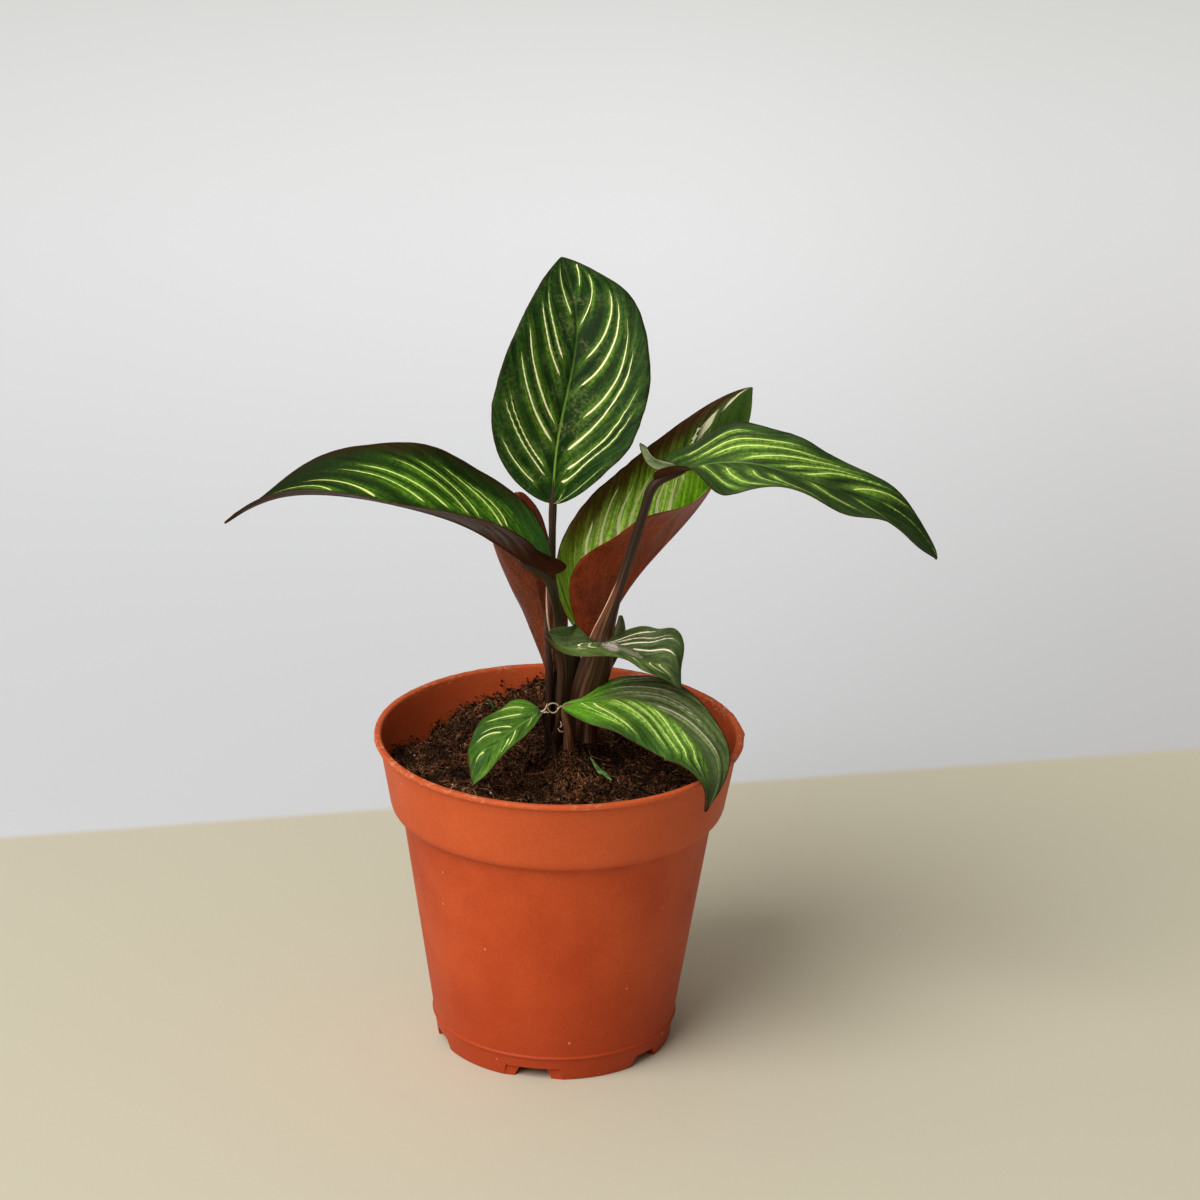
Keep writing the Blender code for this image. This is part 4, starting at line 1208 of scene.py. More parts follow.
def upper_finish(name, seed, dark=LEAF_DARK, green=LEAF_GREEN, glow=LEAF_GLOW, stripe=STRIPE,
                 pink=STRIPE_PINK, rib=RIB_GREEN, edge=MARGIN_RED, left=None, width=0.42, glow_width=1.9,
                 glow_share=0.8, pink_share=0.5, worn=0.0, washes=(), blotches=(), veins=(0.74, 1.2),
                 shine=0.15):
    """The upper side of a blade, from the same stripes with this leaf's own colours and amounts.

    Left holds the colours that differ on the left half. A wash lays a colour over a part of the blade: the
    colour, whether it is read along or across the blade, where it starts, where it is whole, and how much
    of it there is. A blotch is an oval of a colour: its place across and along, and its half sizes there.
    """
    finish, tree, shader = new_finish(name, LEAF_ROUGHNESS, shine)
    masks = use_group(tree, pin_stripes, Stripe_Width=width, Glow_Width=glow_width, Seed=seed)
    streaks = masks["Streaks"]
    spot = parts_of(tree, map_in(tree, "place"))
    reads = {"across": spot["X"], "along": spot["Y"]}
    place = place_in(tree)
    patches = speckle(tree, place, 110.0, 4.0, 0.6)
    flecks = speckle(tree, place, 900.0, 4.0, 0.75)

    def tone(kind, own):
        """One of this leaf's colours, and its left half's own where that has one."""
        if left and kind in left:
            return blend(tree, masks["Right Half"], left[kind], own)
        return own

    mottle = plus(tree, times(tree, streaks, 0.6), times(tree, patches, 0.4))
    colour = blend(tree, fade(tree, mottle, 0.38, 0.64), tone("dark", dark), tone("green", green))
    wedge = times(tree, masks["Feather"], fade(tree, streaks, 0.3, 0.6, 0.3, 0.9))
    colour = blend(tree, wedge, colour, tone("dark", dark))
    glowing = times(tree, masks["Glow"], glow_share, fade(tree, flecks, 0.3, 0.62, 0.45, 1.1))
    colour = blend(tree, glowing, colour, tone("glow", glow))
    for wash, reading, start, whole, amount in washes:
        ragged = plus(tree, reads[reading], fade(tree, streaks, 0.2, 0.8, -0.1, 0.1))
        colour = blend(tree, fade(tree, ragged, start, whole, 0.0, amount), colour, wash)
    fine = fade(tree, masks["Veins"], 0.32, 0.68, *veins)
    colour = shaded(tree, colour, times(tree, fine, fade(tree, flecks, 0.3, 0.7, 0.8, 1.16)))
    by_rib = fade(tree, sum_up(tree, "ABSOLUTE", spot["X"]), 0.5, 0.05, 0.35, 1.0)
    rubbed = times(tree, fade(tree, flecks, 0.46, 0.62), fade(tree, patches, 0.46, 0.6), by_rib)
    colour = blend(tree, times(tree, rubbed, worn), colour, LEAF_WORN)
    for blotch, across, far_along, wide, long in blotches:
        aside = sum_up(tree, "DIVIDE", sum_up(tree, "SUBTRACT", spot["X"], across), wide)
        onward = sum_up(tree, "DIVIDE", sum_up(tree, "SUBTRACT", spot["Y"], far_along), long)
        reach = plus(tree, sum_up(tree, "POWER", aside, 2.0), sum_up(tree, "POWER", onward, 2.0))
        reach = plus(tree, reach, fade(tree, flecks, 0.2, 0.8, -0.8, 0.8))
        colour = blend(tree, fade(tree, reach, 1.3, 0.2, 0.0, 0.95), colour, blotch)
    tint = blend(tree, times(tree, masks["Pink"], pink_share), tone("stripe", stripe), pink)
    colour = blend(tree, masks["Stripe"], colour, tint)
    colour = blend(tree, times(tree, masks["Midrib"], 0.85), colour, rib)
    colour = blend(tree, masks["Margin"], colour, edge)
    gloss = fade(tree, patches, 0.3, 0.7, LEAF_ROUGHNESS - 0.06, LEAF_ROUGHNESS + 0.09)
    gloss = plus(tree, gloss, times(tree, rubbed, worn * 0.25))
    cells = times(tree, speckle(tree, place, 1900.0, 2.0, 0.6), 0.25)
    raised = times(tree, masks["Stripe"], 0.15)
    height = plus(tree, masks["Veins"], times(tree, streaks, 1.1), cells, raised)
    dress(tree, shader, colour, height, 0.55, 0.25, roughness=gloss)
    return finish


def lower_finish(name, seed, red=BACK_RED, dark=BACK_DARK):
    """The wine-red underside: darker along its veins, and faintly green where the upper side glows."""
    finish, tree, shader = new_finish(name, BACK_ROUGHNESS, 0.1)
    masks = use_group(tree, pin_stripes, Glow_Width=2.6, Seed=seed)
    place = place_in(tree)
    patches = speckle(tree, place, 75.0, 4.0, 0.6)
    mottle = plus(tree, times(tree, masks["Streaks"], 0.3), times(tree, patches, 0.7))
    colour = blend(tree, fade(tree, mottle, 0.26, 0.66), dark, red)
    colour = blend(tree, times(tree, fade(tree, masks["Veins"], 0.45, 0.7), 0.28), colour, dark)
    colour = blend(tree, times(tree, masks["Glow"], 0.12), colour, LEAF_GREEN)
    colour = blend(tree, times(tree, masks["Midrib"], 0.8), colour, STEM_OLIVE)
    colour = blend(tree, times(tree, masks["Margin"], 0.6), colour, MARGIN_RED)
    flecks = speckle(tree, place, 1000.0, 4.0, 0.75)
    colour = shaded(tree, colour, fade(tree, flecks, 0.3, 0.7, 0.68, 1.3))
    gloss = fade(tree, patches, 0.3, 0.7, BACK_ROUGHNESS - 0.05, BACK_ROUGHNESS + 0.1)
    dress(tree, shader, colour, plus(tree, masks["Veins"], masks["Streaks"]), 0.5, 0.25, roughness=gloss)
    return finish


def stem_finish(name, foot=STEM_WINE, top=STEM_OLIVE, lit=STEM_LIT, lit_share=0.35):
    """A petiole: fine streaks along it, another tint towards the blade, painted highlight bands low down, and
    the sheath's pale edge.
    """
    finish, tree, shader = new_finish(name, STEM_ROUGHNESS, 0.24)
    place = map_in(tree, "place")
    share = parts_of(tree, place)["Y"]
    edge = parts_of(tree, map_in(tree, "edge"))
    streaks = speckle(tree, place, 1.0, 4.0, 0.65, stretch=(30.0, 3.0, 1.0))
    cloud = speckle(tree, place_in(tree), 150.0, 4.0, 0.6, stretch=(1.0, 1.0, 0.4))
    higher = fade(tree, plus(tree, share, times(tree, cloud, 0.3)), 0.75, 0.3)
    colour = blend(tree, higher, foot, top)
    # Painted highlight: lighter bands along the lower stem, where its glossy sheath would catch the light
    highlight_bands = speckle(tree, place, 1.0, 3.0, 0.6, stretch=(11.0, 1.6, 1.0))
    highlight_bands = fade(tree, highlight_bands, 0.48, 0.64, 0.0, lit_share)
    colour = blend(tree, times(tree, highlight_bands, fade(tree, share, 0.2, 0.42, 0.35, 1.0)), colour, lit)
    colour = shaded(tree, colour, fade(tree, streaks, 0.32, 0.68, 0.62, 1.34))
    beside = plus(tree, edge["X"], fade(tree, cloud, 0.2, 0.8, -0.15, 0.15))
    flap = times(tree, fade(tree, beside, -2.6, -0.6), sum_up(tree, "LESS_THAN", beside, 0.1))
    flap = times(tree, flap, edge["Y"], fade(tree, streaks, 0.3, 0.6, 0.3, 1.0))
    colour = blend(tree, flap, colour, SHEATH_RED)
    pale = fade(tree, sum_up(tree, "ABSOLUTE", beside), 0.32, 0.06)
    pale = times(tree, pale, edge["Y"], fade(tree, streaks, 0.25, 0.55, 0.45, 1.0))
    colour = blend(tree, pale, colour, SHEATH_EDGE)
    gloss = fade(tree, cloud, 0.3, 0.7, STEM_ROUGHNESS - 0.06, STEM_ROUGHNESS + 0.12)
    dress(tree, shader, colour, plus(tree, streaks, cloud), 0.6, 0.25, roughness=gloss)
    return finish


def grow(name, leaf, stem, upper, lower, bark):
    """The blade and the stem of one leaf, in place of their two nodes."""
    blade = make_blade(name + "_leaf", leaf, upper, lower)
    stalk = make_stem(name + "_petiole", stem, leaf, bark)
    for piece, node, slot in ((blade, "_blade", "leaf_green"), (stalk, "_stem", "stem_wine")):
        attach(piece, "root")
        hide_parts("leaf_" + name + node)


TOP_LEAF = {
    "spine": [
        (-3, 4, 165.5), (-2, 7, 182), (1, 10, 199), (3, 17, 215), (1, 27, 223.5), (-2, 37, 229.5),
    ],
    "face": [(-0.25, -1, 0.16), (0, -1, 0.3), (-0.07, -0.5, 1)],
    "half": (20.5, 23.5),
    "shape": (0.65, 0.95),
    "fold": ([6, 20, 13], [36, 18, 7]),
    "wave": ((0, 3, 0), (0.3, 3, 0.08)),
    "stripes": (
        [
            (0.50, 0.08, 0.87, 0.23),
            (0.18, 0.10, 0.84, 0.37),
            (0.21, 0.14, 0.80, 0.39),
            (0.08, 0.23, 0.80, 0.54),
            (0.09, 0.30, 0.84, 0.66),
            (0.16, 0.48, 0.73, 0.78),
            (0.17, 0.54, 0.68, 0.85),
            (0.10, 0.72, 0.35, 0.95),
        ],
        [
            (0.42, 0.05, 0.88, 0.18),
            (0.21, 0.09, 0.89, 0.43),
            (0.26, 0.14, 0.86, 0.49),
            (0.17, 0.21, 0.80, 0.61),
            (0.28, 0.35, 0.77, 0.67),
            (0.13, 0.45, 0.76, 0.75),
            (0.15, 0.55, 0.74, 0.78),
            (0.04, 0.67, 0.70, 0.88),
            (0.21, 0.83, 0.75, 0.94),
        ],
    ),
    "bow": ((-0.03, -0.03), (-0.11, 0.02)),
    "trim": ([1, 1], [1, 1, 1, 1, 1, 1, 1, 1, 0.95, 0.9, 1]),
}
TOP_STEM = {
    "path": [(-3, 4.2, 165), (-3, 4.6, 145), (-3.5, 3.6, 132), (-3.2, 3, 115), (-3.3, 3, 78)],
    "radii": (1.05, 1.1, 1.2, 1.3),
    "edge": (250, 190, 50, -20, -40),
    "edge_span": (0.25, 0.68),
}
wine_back = lower_finish("wine underside", 3.0)
top_face = upper_finish(
    "top leaf face", 5.0, dark=(22, 44, 14), green=(46, 80, 28), glow=(112, 160, 42), width=0.46,
    glow_share=1.0, worn=0.8, pink_share=0.4, rib=(128, 164, 66), shine=0.07,
)
top_bark = stem_finish("top petiole", foot=(50, 30, 20), top=(58, 38, 26))
grow("top", TOP_LEAF, TOP_STEM, top_face, wine_back, top_bark)


# Left leaf
# It arches out to the left on a bent petiole. Its near half hangs steeply and shows the wine back,
# and the far half lies open to the light, brighter between its stripes.

LEFT_LEAF = {
    "spine": [
        (-3, -8, 147.5), (-10, -9, 152), (-24, -11, 162), (-44, -14, 170), (-67, -13, 173),
        (-82, -12, 171), (-96, -12, 163.5),
    ],
    "face": [(0.33, 0, 1), (-0.08, -0.05, 1), (-0.14, 0.25, 1)],
    "half": (19.5, 20.5),
    "shape": (0.63, 1.1),
    "fold": ([47, 27, 23, 14], [48, 34, 45, 6]),
    "wave": ((0.2, 3, 0.2), (1.1, 3, 0)),
    "lobe": ((4.5, 0.12), (0, 0.12)),
    "trim": ([0.55, 0.86, 1.12, 1.1, 1, 1, 1, 1, 1, 1, 1], [1, 1, 1, 1, 1, 1, 0.97, 0.92, 0.72, 0.46, 0.4]),
    "stripes": (
        [
            (0.20, 0.10, 0.80, 0.26),
            (0.20, 0.18, 0.82, 0.36),
            (0.18, 0.22, 0.80, 0.42),
            (0.15, 0.34, 0.80, 0.56),
            (0.15, 0.39, 0.78, 0.62),
            (0.12, 0.52, 0.74, 0.75),
            (0.12, 0.66, 0.60, 0.86),
        ],
        [
            (0.37, 0.18, 0.69, 0.31),
            (0.31, 0.19, 0.78, 0.40),
            (0.23, 0.26, 0.75, 0.47),
            (0.19, 0.29, 0.72, 0.53),
            (0.16, 0.35, 0.61, 0.62),
            (0.13, 0.42, 0.56, 0.68),
            (0.05, 0.56, 0.40, 0.76),
            (0.08, 0.68, 0.36, 0.85),
        ],
    ),
}
LEFT_STEM = {
    "path": [
        (-2.95, -8, 146.8), (-2.1, -6.6, 142), (-1, -3.6, 135), (0.5, -1.9, 127.5), (2.4, -0.9, 119),
        (1.8, -0.5, 109), (1.2, -0.5, 95), (0.8, -0.5, 78),
    ],
    "radii": (1.45, 1.4, 1.25, 2.2, 3.7, 3.1, 2.7, 2.5, 2.4, 2.3, 2.3),
    "depth": 0.6,
    "edge": (180, 178),
    "edge_span": (0.9, 0.99),
}
left_face = upper_finish(
    "left leaf face", 9.0, dark=(26, 46, 14), green=(42, 72, 22), glow=(108, 170, 40),
    stripe=(236, 250, 150), width=0.36, glow_width=2.2, glow_share=0.95, pink_share=0.05, shine=0.06,
    washes=[
        ((26, 36, 12), "along", 0.5, 0.85, 0.75),
        ((50, 34, 18), "across", 0.78, 1.0, 0.8),
        ((46, 82, 32), "along", 0.22, 0.08, 0.85),
    ],
)
left_back = lower_finish("left leaf back", 13.0, red=(74, 36, 22), dark=(34, 17, 10))
left_bark = stem_finish("left petiole", foot=(44, 27, 17), top=(50, 42, 24))
grow("left", LEFT_LEAF, LEFT_STEM, left_face, left_back, left_bark)


# Back right leaf
# A broad leaf still half rolled into a funnel. The camera looks into its inner side, painted bright as
# light shining through the leaf, and its outer side turns forward below as red-brown cones on both sides
# of the stem in front.

BACK_RIGHT_LEAF = {
    "spine": [(10, 7, 121), (21, 16, 138), (40, 22, 160), (49, 26, 177), (54, 28, 194)],
    "face": [(-0.88, -0.19, 0.5), (-0.65, -0.46, 0.48), (-0.69, -0.48, 0.48)],
    "half": (27, 28),
    "shape": (0.56, 0.79),
    "fold": ([66, 75, 47], [77, 55, 25]),
    "wave": ((0, 3, 0), (-1.6, 3, 0.4)),
    "stripes": (
        [
            (0.55, 0.21, 0.80, 0.31),
            (0.48, 0.24, 0.89, 0.47),
            (0.46, 0.33, 0.76, 0.49),
            (0.42, 0.36, 0.72, 0.57),
            (0.30, 0.46, 0.56, 0.61),
            (0.20, 0.49, 0.48, 0.66),
            (0.35, 0.62, 0.66, 0.76),
            (0.46, 0.72, 0.70, 0.80),
        ],
        [
            (0.20, 0.08, 0.80, 0.26),
            (0.20, 0.14, 0.82, 0.34),
            (0.18, 0.24, 0.82, 0.46),
            (0.18, 0.30, 0.82, 0.52),
            (0.15, 0.42, 0.80, 0.62),
            (0.15, 0.48, 0.80, 0.68),
            (0.12, 0.62, 0.74, 0.78),
            (0.12, 0.74, 0.60, 0.88),
        ],
    ),
}
BACK_RIGHT_STEM = {
    "path": [(9.7, 6.9, 120.4), (8.2, 6, 112), (6.5, 4.8, 102), (5.2, 4.8, 90), (5, 4.8, 78)],
    "radii": (1.6, 2, 2, 2),
}
# Painted light: the inner side's greens are far brighter than the leaf's own, as light shining through it,
# most of all low down, and they grow darker towards the tip; the brown towards the left margin is its own.
back_right_face = upper_finish(
    "back right leaf face", 17.0, dark=(116, 168, 32), green=(176, 228, 66), glow=(232, 252, 150),
    stripe=(255, 255, 214), pink=(255, 250, 236), width=0.78, glow_width=4.6, pink_share=0.3,
    glow_share=1.0, veins=(0.45, 1.45),
    washes=[
        ((42, 68, 24), "along", 0.6, 0.8, 0.92),
        ((84, 48, 22), "across", -0.6, -0.92, 0.95),
        ((130, 176, 44), "along", 0.3, 0.1, 0.7),
    ],
)
# Painted light: the outer side's reds are lighter than the other leaves' backs, lighting cones that lie in
# shade
back_right_back = lower_finish("back right leaf back", 23.0, red=(176, 78, 44), dark=(96, 42, 24))
back_right_bark = stem_finish("back right petiole", top=(74, 92, 36))
grow("back_right", BACK_RIGHT_LEAF, BACK_RIGHT_STEM, back_right_face, back_right_back, back_right_bark)


# Right leaf
# The longest petiole leans out to the right and carries a narrow leaf that arches over.
# One basal lobe curls up behind the joint and shows its tip.

RIGHT_LEAF = {
    "spine": [
        (26, -10, 178), (38, -9.5, 182.5), (53, -12, 184.5), (68, -15, 181.5), (84, -14, 175),
        (107, -12, 157),
    ],
    "face": [(-0.38, -0.18, 1), (-0.16, -0.22, 1), (0.32, -0.17, 1)],
    "half": (13.5, 15),
    "shape": (0.4, 0.62),
    "fold": ([76, 0, 19, 17, 13, 16, 20, 16, 16], [56, 28, 6, 10, 15, 12, 14, 17, 15]),
    "wave": ((1.3, 3, -0.17), (1.8, 3, -0.05)),
    "lobe": ((0, 0.1), (1.5, 0.12)),
    "trim": (
        [0.25, 0.95, 1.2, 1, 0.96, 0.9, 1, 1, 1.05, 1.15, 1.2],
        [0.4, 0.8, 1.22, 1.04, 1, 1, 1, 1, 1, 1, 1],
    ),
    "stripes": (
        [
            (0.55, 0.12, 0.79, 0.27),
            (0.34, 0.15, 0.79, 0.45),
            (0.22, 0.18, 0.78, 0.57),
            (0.09, 0.29, 0.80, 0.64),
            (0.11, 0.42, 0.72, 0.67),
            (0.11, 0.49, 0.87, 0.77),
            (0.18, 0.65, 0.90, 0.86),
            (0.34, 0.80, 0.52, 0.91),
            (0.66, 0.84, 0.88, 0.92),
        ],
        [
            (0.10, 0.16, 0.83, 0.30),
            (0.20, 0.24, 0.90, 0.40),
            (0.25, 0.33, 0.88, 0.48),
            (0.36, 0.40, 0.91, 0.53),
            (0.20, 0.51, 0.70, 0.66),
            (0.08, 0.67, 0.50, 0.80),
        ],
    ),
}
RIGHT_STEM = {
    "path": [
        (25.8, -9.9, 177.4), (23.6, -10, 170.5), (20.8, -9.8, 160), (17.6, -8.8, 148), (14.4, -7.6, 137),
        (12.1, -6, 128.5), (10.6, -4.2, 120), (8.4, -2.4, 110.4), (7.3, -1.2, 103), (7, -0.3, 91),
        (6.9, -0.2, 78),
    ],
    "radii": (1.35, 1.35, 1.4, 1.3, 1.9, 3.3, 4.75, 4.8, 4.4, 4.2, 4.0),
    "depth": 0.6,
    "edge": (172, 170, 165, 160, 160),
    "edge_span": (0.32, 0.58),
}
right_face = upper_finish(
    "right leaf face", 31.0, dark=(38, 62, 24), green=(66, 100, 38), glow=(152, 206, 72),
    stripe=(226, 246, 140), width=0.34, glow_width=1.8, glow_share=1.0, pink_share=0.05,
    veins=(0.6, 1.32), shine=0.2, left={"dark": (32, 52, 20), "green": (58, 92, 32)},
    washes=[((40, 60, 22), "along", 0.78, 0.98, 0.7)],
)
right_back = lower_finish("right leaf back", 33.0, red=(80, 42, 28), dark=(44, 24, 15))
right_bark = stem_finish(
    "right petiole", foot=(72, 46, 33), top=(42, 28, 19), lit=(158, 118, 94), lit_share=0.6,
)
grow("right", RIGHT_LEAF, RIGHT_STEM, right_face, right_back, right_bark)

# The far basal lobe has curled up past the joint, and shows as a narrow crescent with a pale rim
RIGHT_LOBE = {
    "spine": [
        (32.2, -9, 181.7), (29.2, -8.6, 181.8), (26, -8.3, 182.7), (24, -8, 185), (22.7, -7.8, 187.4),
        (21.6, -8, 188.3),
    ],
    "face": [(-0.3, -0.8, 0.6), (-0.5, -0.8, 0.4), (-0.8, -0.6, 0.2)],
    "half": (0.9, 1.1),
    "shape": (0.5, 0.5),
    "fold": ([20, 20], [25, 25]),
    "stripes": ([(0.2, 0.1, 0.8, 0.3), (0.2, 0.6, 0.8, 0.8)],) * 2,
    "pleat": 0.0,
}
lobe_face = upper_finish(
    "curled lobe", 37.0, dark=(92, 112, 70), green=(128, 148, 104), width=0.0, glow_share=0.0,
    rib=(110, 132, 84), shine=0.4,
    washes=[((196, 208, 172), "across", 0.6, 0.85, 0.9), ((70, 84, 44), "along", 0.25, 0.05, 0.8)],
)
lobe = make_blade("right_lobe", RIGHT_LOBE, lobe_face, wine_back)
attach(lobe, "root")


# Side shoot
# A short olive shoot, still rolled up tight, grows out of the right petiole's sheath. It stands close
# behind the petiole and shows only its blunt top.

SHOOT_PATH = [
    (7.6, 0.6, 100), (11.4, 1.8, 112), (15.2, 2.8, 121), (17.2, 3, 127), (17.4, 3, 130), (17.3, 3, 131.6),
]
SHOOT_RADII = (0.9, 1.2, 1.8, 2.3, 2.1, 0.6)
SHOOT_ROWS = 40


def tapered(path, radii, rows, sides):
    """Points and faces of a strand along a smooth curve, with radii spaced evenly along it."""
    share = np.linspace(0, 1, rows)
    return strand(along(path, share)[0], evenly(radii, share), sides)


shooting = flecked_finish(
    "olive shoot", (48, 50, 24), (84, 88, 46), 700.0, (0.5, 0.2), share=(0.35, 0.65), stretch=(1.0, 1.0, 0.1),
)
shoot = add_piece("side_shoot", *tapered(SHOOT_PATH, SHOOT_RADII, SHOOT_ROWS, 20), [shooting], sharp=50)
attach(shoot, "root")


# Back left leaf
# The newest leaf is still rolled: it stands up behind the left one and shows only its red-brown back.
# Its petiole rises from the soil behind the others.

BACK_LEFT_LEAF = {
    "spine": [(-1, 6, 107), (-4, 10, 125), (-9, 16, 143), (-13.5, 24, 161.5)],
    "face": [(0.3, 1, 0), (0.21, 1, -0.2), (0, 1, -0.3)],
    "half": (9, 15),
    "shape": (0.82, 0.34),
    "fold": ([10, 10, 10], [11, 14, 7]),
    "curl": ([60, 60, 60], [60, 60, 58]),
    "trim": ([1, 1, 1, 1, 0.98, 0.92, 0.86, 0.82, 0.8, 0.78, 0.6], [1, 1]),
    "stripes": (
        [
            (0.2, 0.16, 0.8, 0.34),
            (0.2, 0.20, 0.8, 0.38),
            (0.2, 0.42, 0.8, 0.60),
            (0.2, 0.46, 0.8, 0.64),
            (0.2, 0.68, 0.8, 0.84),
        ],
        [
            (0.2, 0.14, 0.8, 0.36),
            (0.2, 0.19, 0.8, 0.41),
            (0.2, 0.40, 0.8, 0.62),
            (0.2, 0.45, 0.8, 0.67),
            (0.2, 0.66, 0.8, 0.86),
        ],
    ),
}
BACK_LEFT_STEM = {
    "path": [(-0.9, 6.1, 106.3), (-0.2, 6, 98), (0.4, 5.6, 90), (0.4, 5.6, 78)],
    "radii": (1.9, 2, 2),
}
back_left_face = upper_finish("back left leaf face", 41.0, glow=(120, 170, 56))
back_left_back = lower_finish("back left leaf back", 43.0, red=(138, 66, 38), dark=(80, 36, 20))
back_left_bark = stem_finish("back left petiole")
grow("back_left", BACK_LEFT_LEAF, BACK_LEFT_STEM, back_left_face, back_left_back, back_left_bark)


# Middle leaf
# A small leaf that lies level across the stems, pinched where it passes them, with pinkish stripes
# and a grey oval and a long whitish one painted at its middle.

MIDDLE_LEAF = {
    "spine": [
        (-4, -12, 131.5), (2, -14, 128), (10, -14.5, 129.5), (25, -15, 125), (31, -17, 124),
        (35, -17, 117.5),
    ],
    "face": [(0, 0, 1), (-0.08, 0.05, 1), (0.26, -0.19, 1)],
    "half": (15.3, 12),
    "shape": (0.57, 0.9),
    "fold": ([46, 17, 17, 28, 18], [23, 4, 8, -12]),
    "wave": ((1.4, 2, -0.05), (0.6, 2, -0.05)),
    "notch": ((0.86, 0.37, 0.14), (0, 0.5, 0.1)),
    "trim": (
        [0.7, 0.7, 0.9, 1, 1.05, 0.95, 0.92, 1, 1.34, 0.8, 0.6],
        [0.55, 0.76, 0.95, 1, 0.88, 0.82, 0.95, 1, 1.12, 1, 1],
    ),
    "stripes": (
        [
            (0.05, 0.25, 0.22, 0.29),
            (0.05, 0.32, 0.24, 0.36),
            (0.35, 0.42, 0.95, 0.70),
            (0.38, 0.47, 0.80, 0.77),
            (0.23, 0.50, 0.80, 0.83),
            (0.19, 0.58, 0.42, 0.82),
        ],
        [
            (0.02, 0.25, 0.30, 0.30),
            (0.04, 0.32, 0.38, 0.35),
            (0.35, 0.60, 0.60, 0.70),
            (0.16, 0.72, 0.68, 0.84),
            (0.08, 0.78, 0.55, 0.89),
        ],
    ),
}
MIDDLE_STEM = {
    "path": [
        (-3.9, -11.5, 130.4), (-1.2, -9.2, 126), (0.6, -7.5, 119), (0.4, -6, 107), (-1, -5.2, 92),
        (-2.7, -5.2, 79),
    ],
    "radii": (0.9, 1, 1),
}
middle_face = upper_finish(
    "middle leaf face", 53.0, dark=(60, 84, 36), green=(122, 152, 78), glow=(150, 178, 100),
    stripe=(255, 255, 200), pink=(244, 226, 212), width=0.56, pink_share=0.1, worn=0.4, shine=0.28,
    edge=(96, 124, 58),
    left={"stripe": (255, 242, 228), "dark": (44, 62, 26), "green": (86, 110, 58), "glow": (116, 140, 84)},
    blotches=[((140, 142, 118), -0.04, 0.54, 0.16, 0.12), ((214, 206, 194), 0.05, 0.44, 0.5, 0.06)],
)
middle_bark = stem_finish("middle petiole", top=(70, 46, 32))
grow("middle", MIDDLE_LEAF, MIDDLE_STEM, middle_face, wine_back, middle_bark)


# Low right leaf
# It reaches over the rim on the right and bends down at its tip. Its near half is bright and pleated,
# and the far half has a grey sheen, partly from its shine and partly painted into its colours.

LOW_RIGHT_LEAF = {
    "spine": [
        (1.1, -9.6, 108.3), (14, -14.4, 113), (28, -18.5, 112), (39.5, -26, 104), (43, -35, 100),
        (42.5, -43, 90.5),
    ],
    "face": [(0, 0, 1), (-0.04, -0.24, 1), (0.78, -0.5, 0.57)],
    "half": (12.5, 14),
    "shape": (0.52, 1.02),
    "fold": ([3, 2, 10], [0, -12, 12]),
    "wave": ((0.4, 3, -0.08), (-0.6, 3, 0)),
    "notch": ((0.62, 0.07, 0.07), (0, 0.5, 0.1)),
    "trim": ([1, 1], [0.6, 0.84, 1, 1, 1, 1, 1.03, 1.16, 1.5, 0.6, 0.6]),
    "pleat": 0.26,
    "stripes": (
        [
            (0.64, 0.20, 0.95, 0.37),
            (0.36, 0.20, 0.66, 0.48),
            (0.20, 0.26, 0.58, 0.58),
            (0.14, 0.32, 0.58, 0.62),
            (0.03, 0.42, 0.56, 0.78),
        ],
        [
            (0.15, 0.10, 0.80, 0.36),
            (0.20, 0.16, 0.82, 0.42),
            (0.06, 0.24, 0.66, 0.60),
            (0.05, 0.30, 0.62, 0.72),
            (0.06, 0.42, 0.50, 0.80),
            (0.04, 0.57, 0.30, 0.84),
        ],
    ),
    "bow": ((-0.02, -0.02), (-0.05, -0.02)),
}
LOW_RIGHT_STEM = {
    "path": [(1.6, -9.4, 107.4), (2.2, -8.6, 103), (2.9, -7.4, 97), (3.5, -6.6, 90), (3.2, -6.6, 79)],
    "radii": (0.7, 1.1, 1.5, 1.9, 2, 2),
}
low_right_face = upper_finish(
    "low right leaf face", 61.0, dark=(46, 84, 24), green=(92, 138, 44), glow=(176, 228, 92),
    stripe=(236, 250, 160), pink=(208, 200, 176), width=0.3, glow_width=1.7, glow_share=1.0,
    pink_share=0.1, veins=(0.45, 1.45), shine=0.24,
    # Painted sheen: the far (left) half's greyer colours paint in part of its grey sheen
    left={"dark": (50, 68, 32), "green": (106, 126, 72), "glow": (146, 168, 112), "stripe": (214, 208, 184)},
    washes=[
        ((100, 164, 36), "along", 0.3, 0.1, 0.9),
        ((48, 66, 28), "along", 0.7, 0.9, 0.75),
        ((66, 106, 40), "across", 0.66, 0.88, 0.6),
    ],
)
low_right_bark = stem_finish(
    "low right petiole", foot=(74, 46, 33), top=(120, 84, 58), lit=(156, 104, 84), lit_share=0.6,
)
grow("low_right", LOW_RIGHT_LEAF, LOW_RIGHT_STEM, low_right_face, wine_back, low_right_bark)


# Low left leaf
# The smallest leaf, thin and fresh green, hangs down over the soil on the left, on a thread of a
# petiole that leaves the others just above the rim.

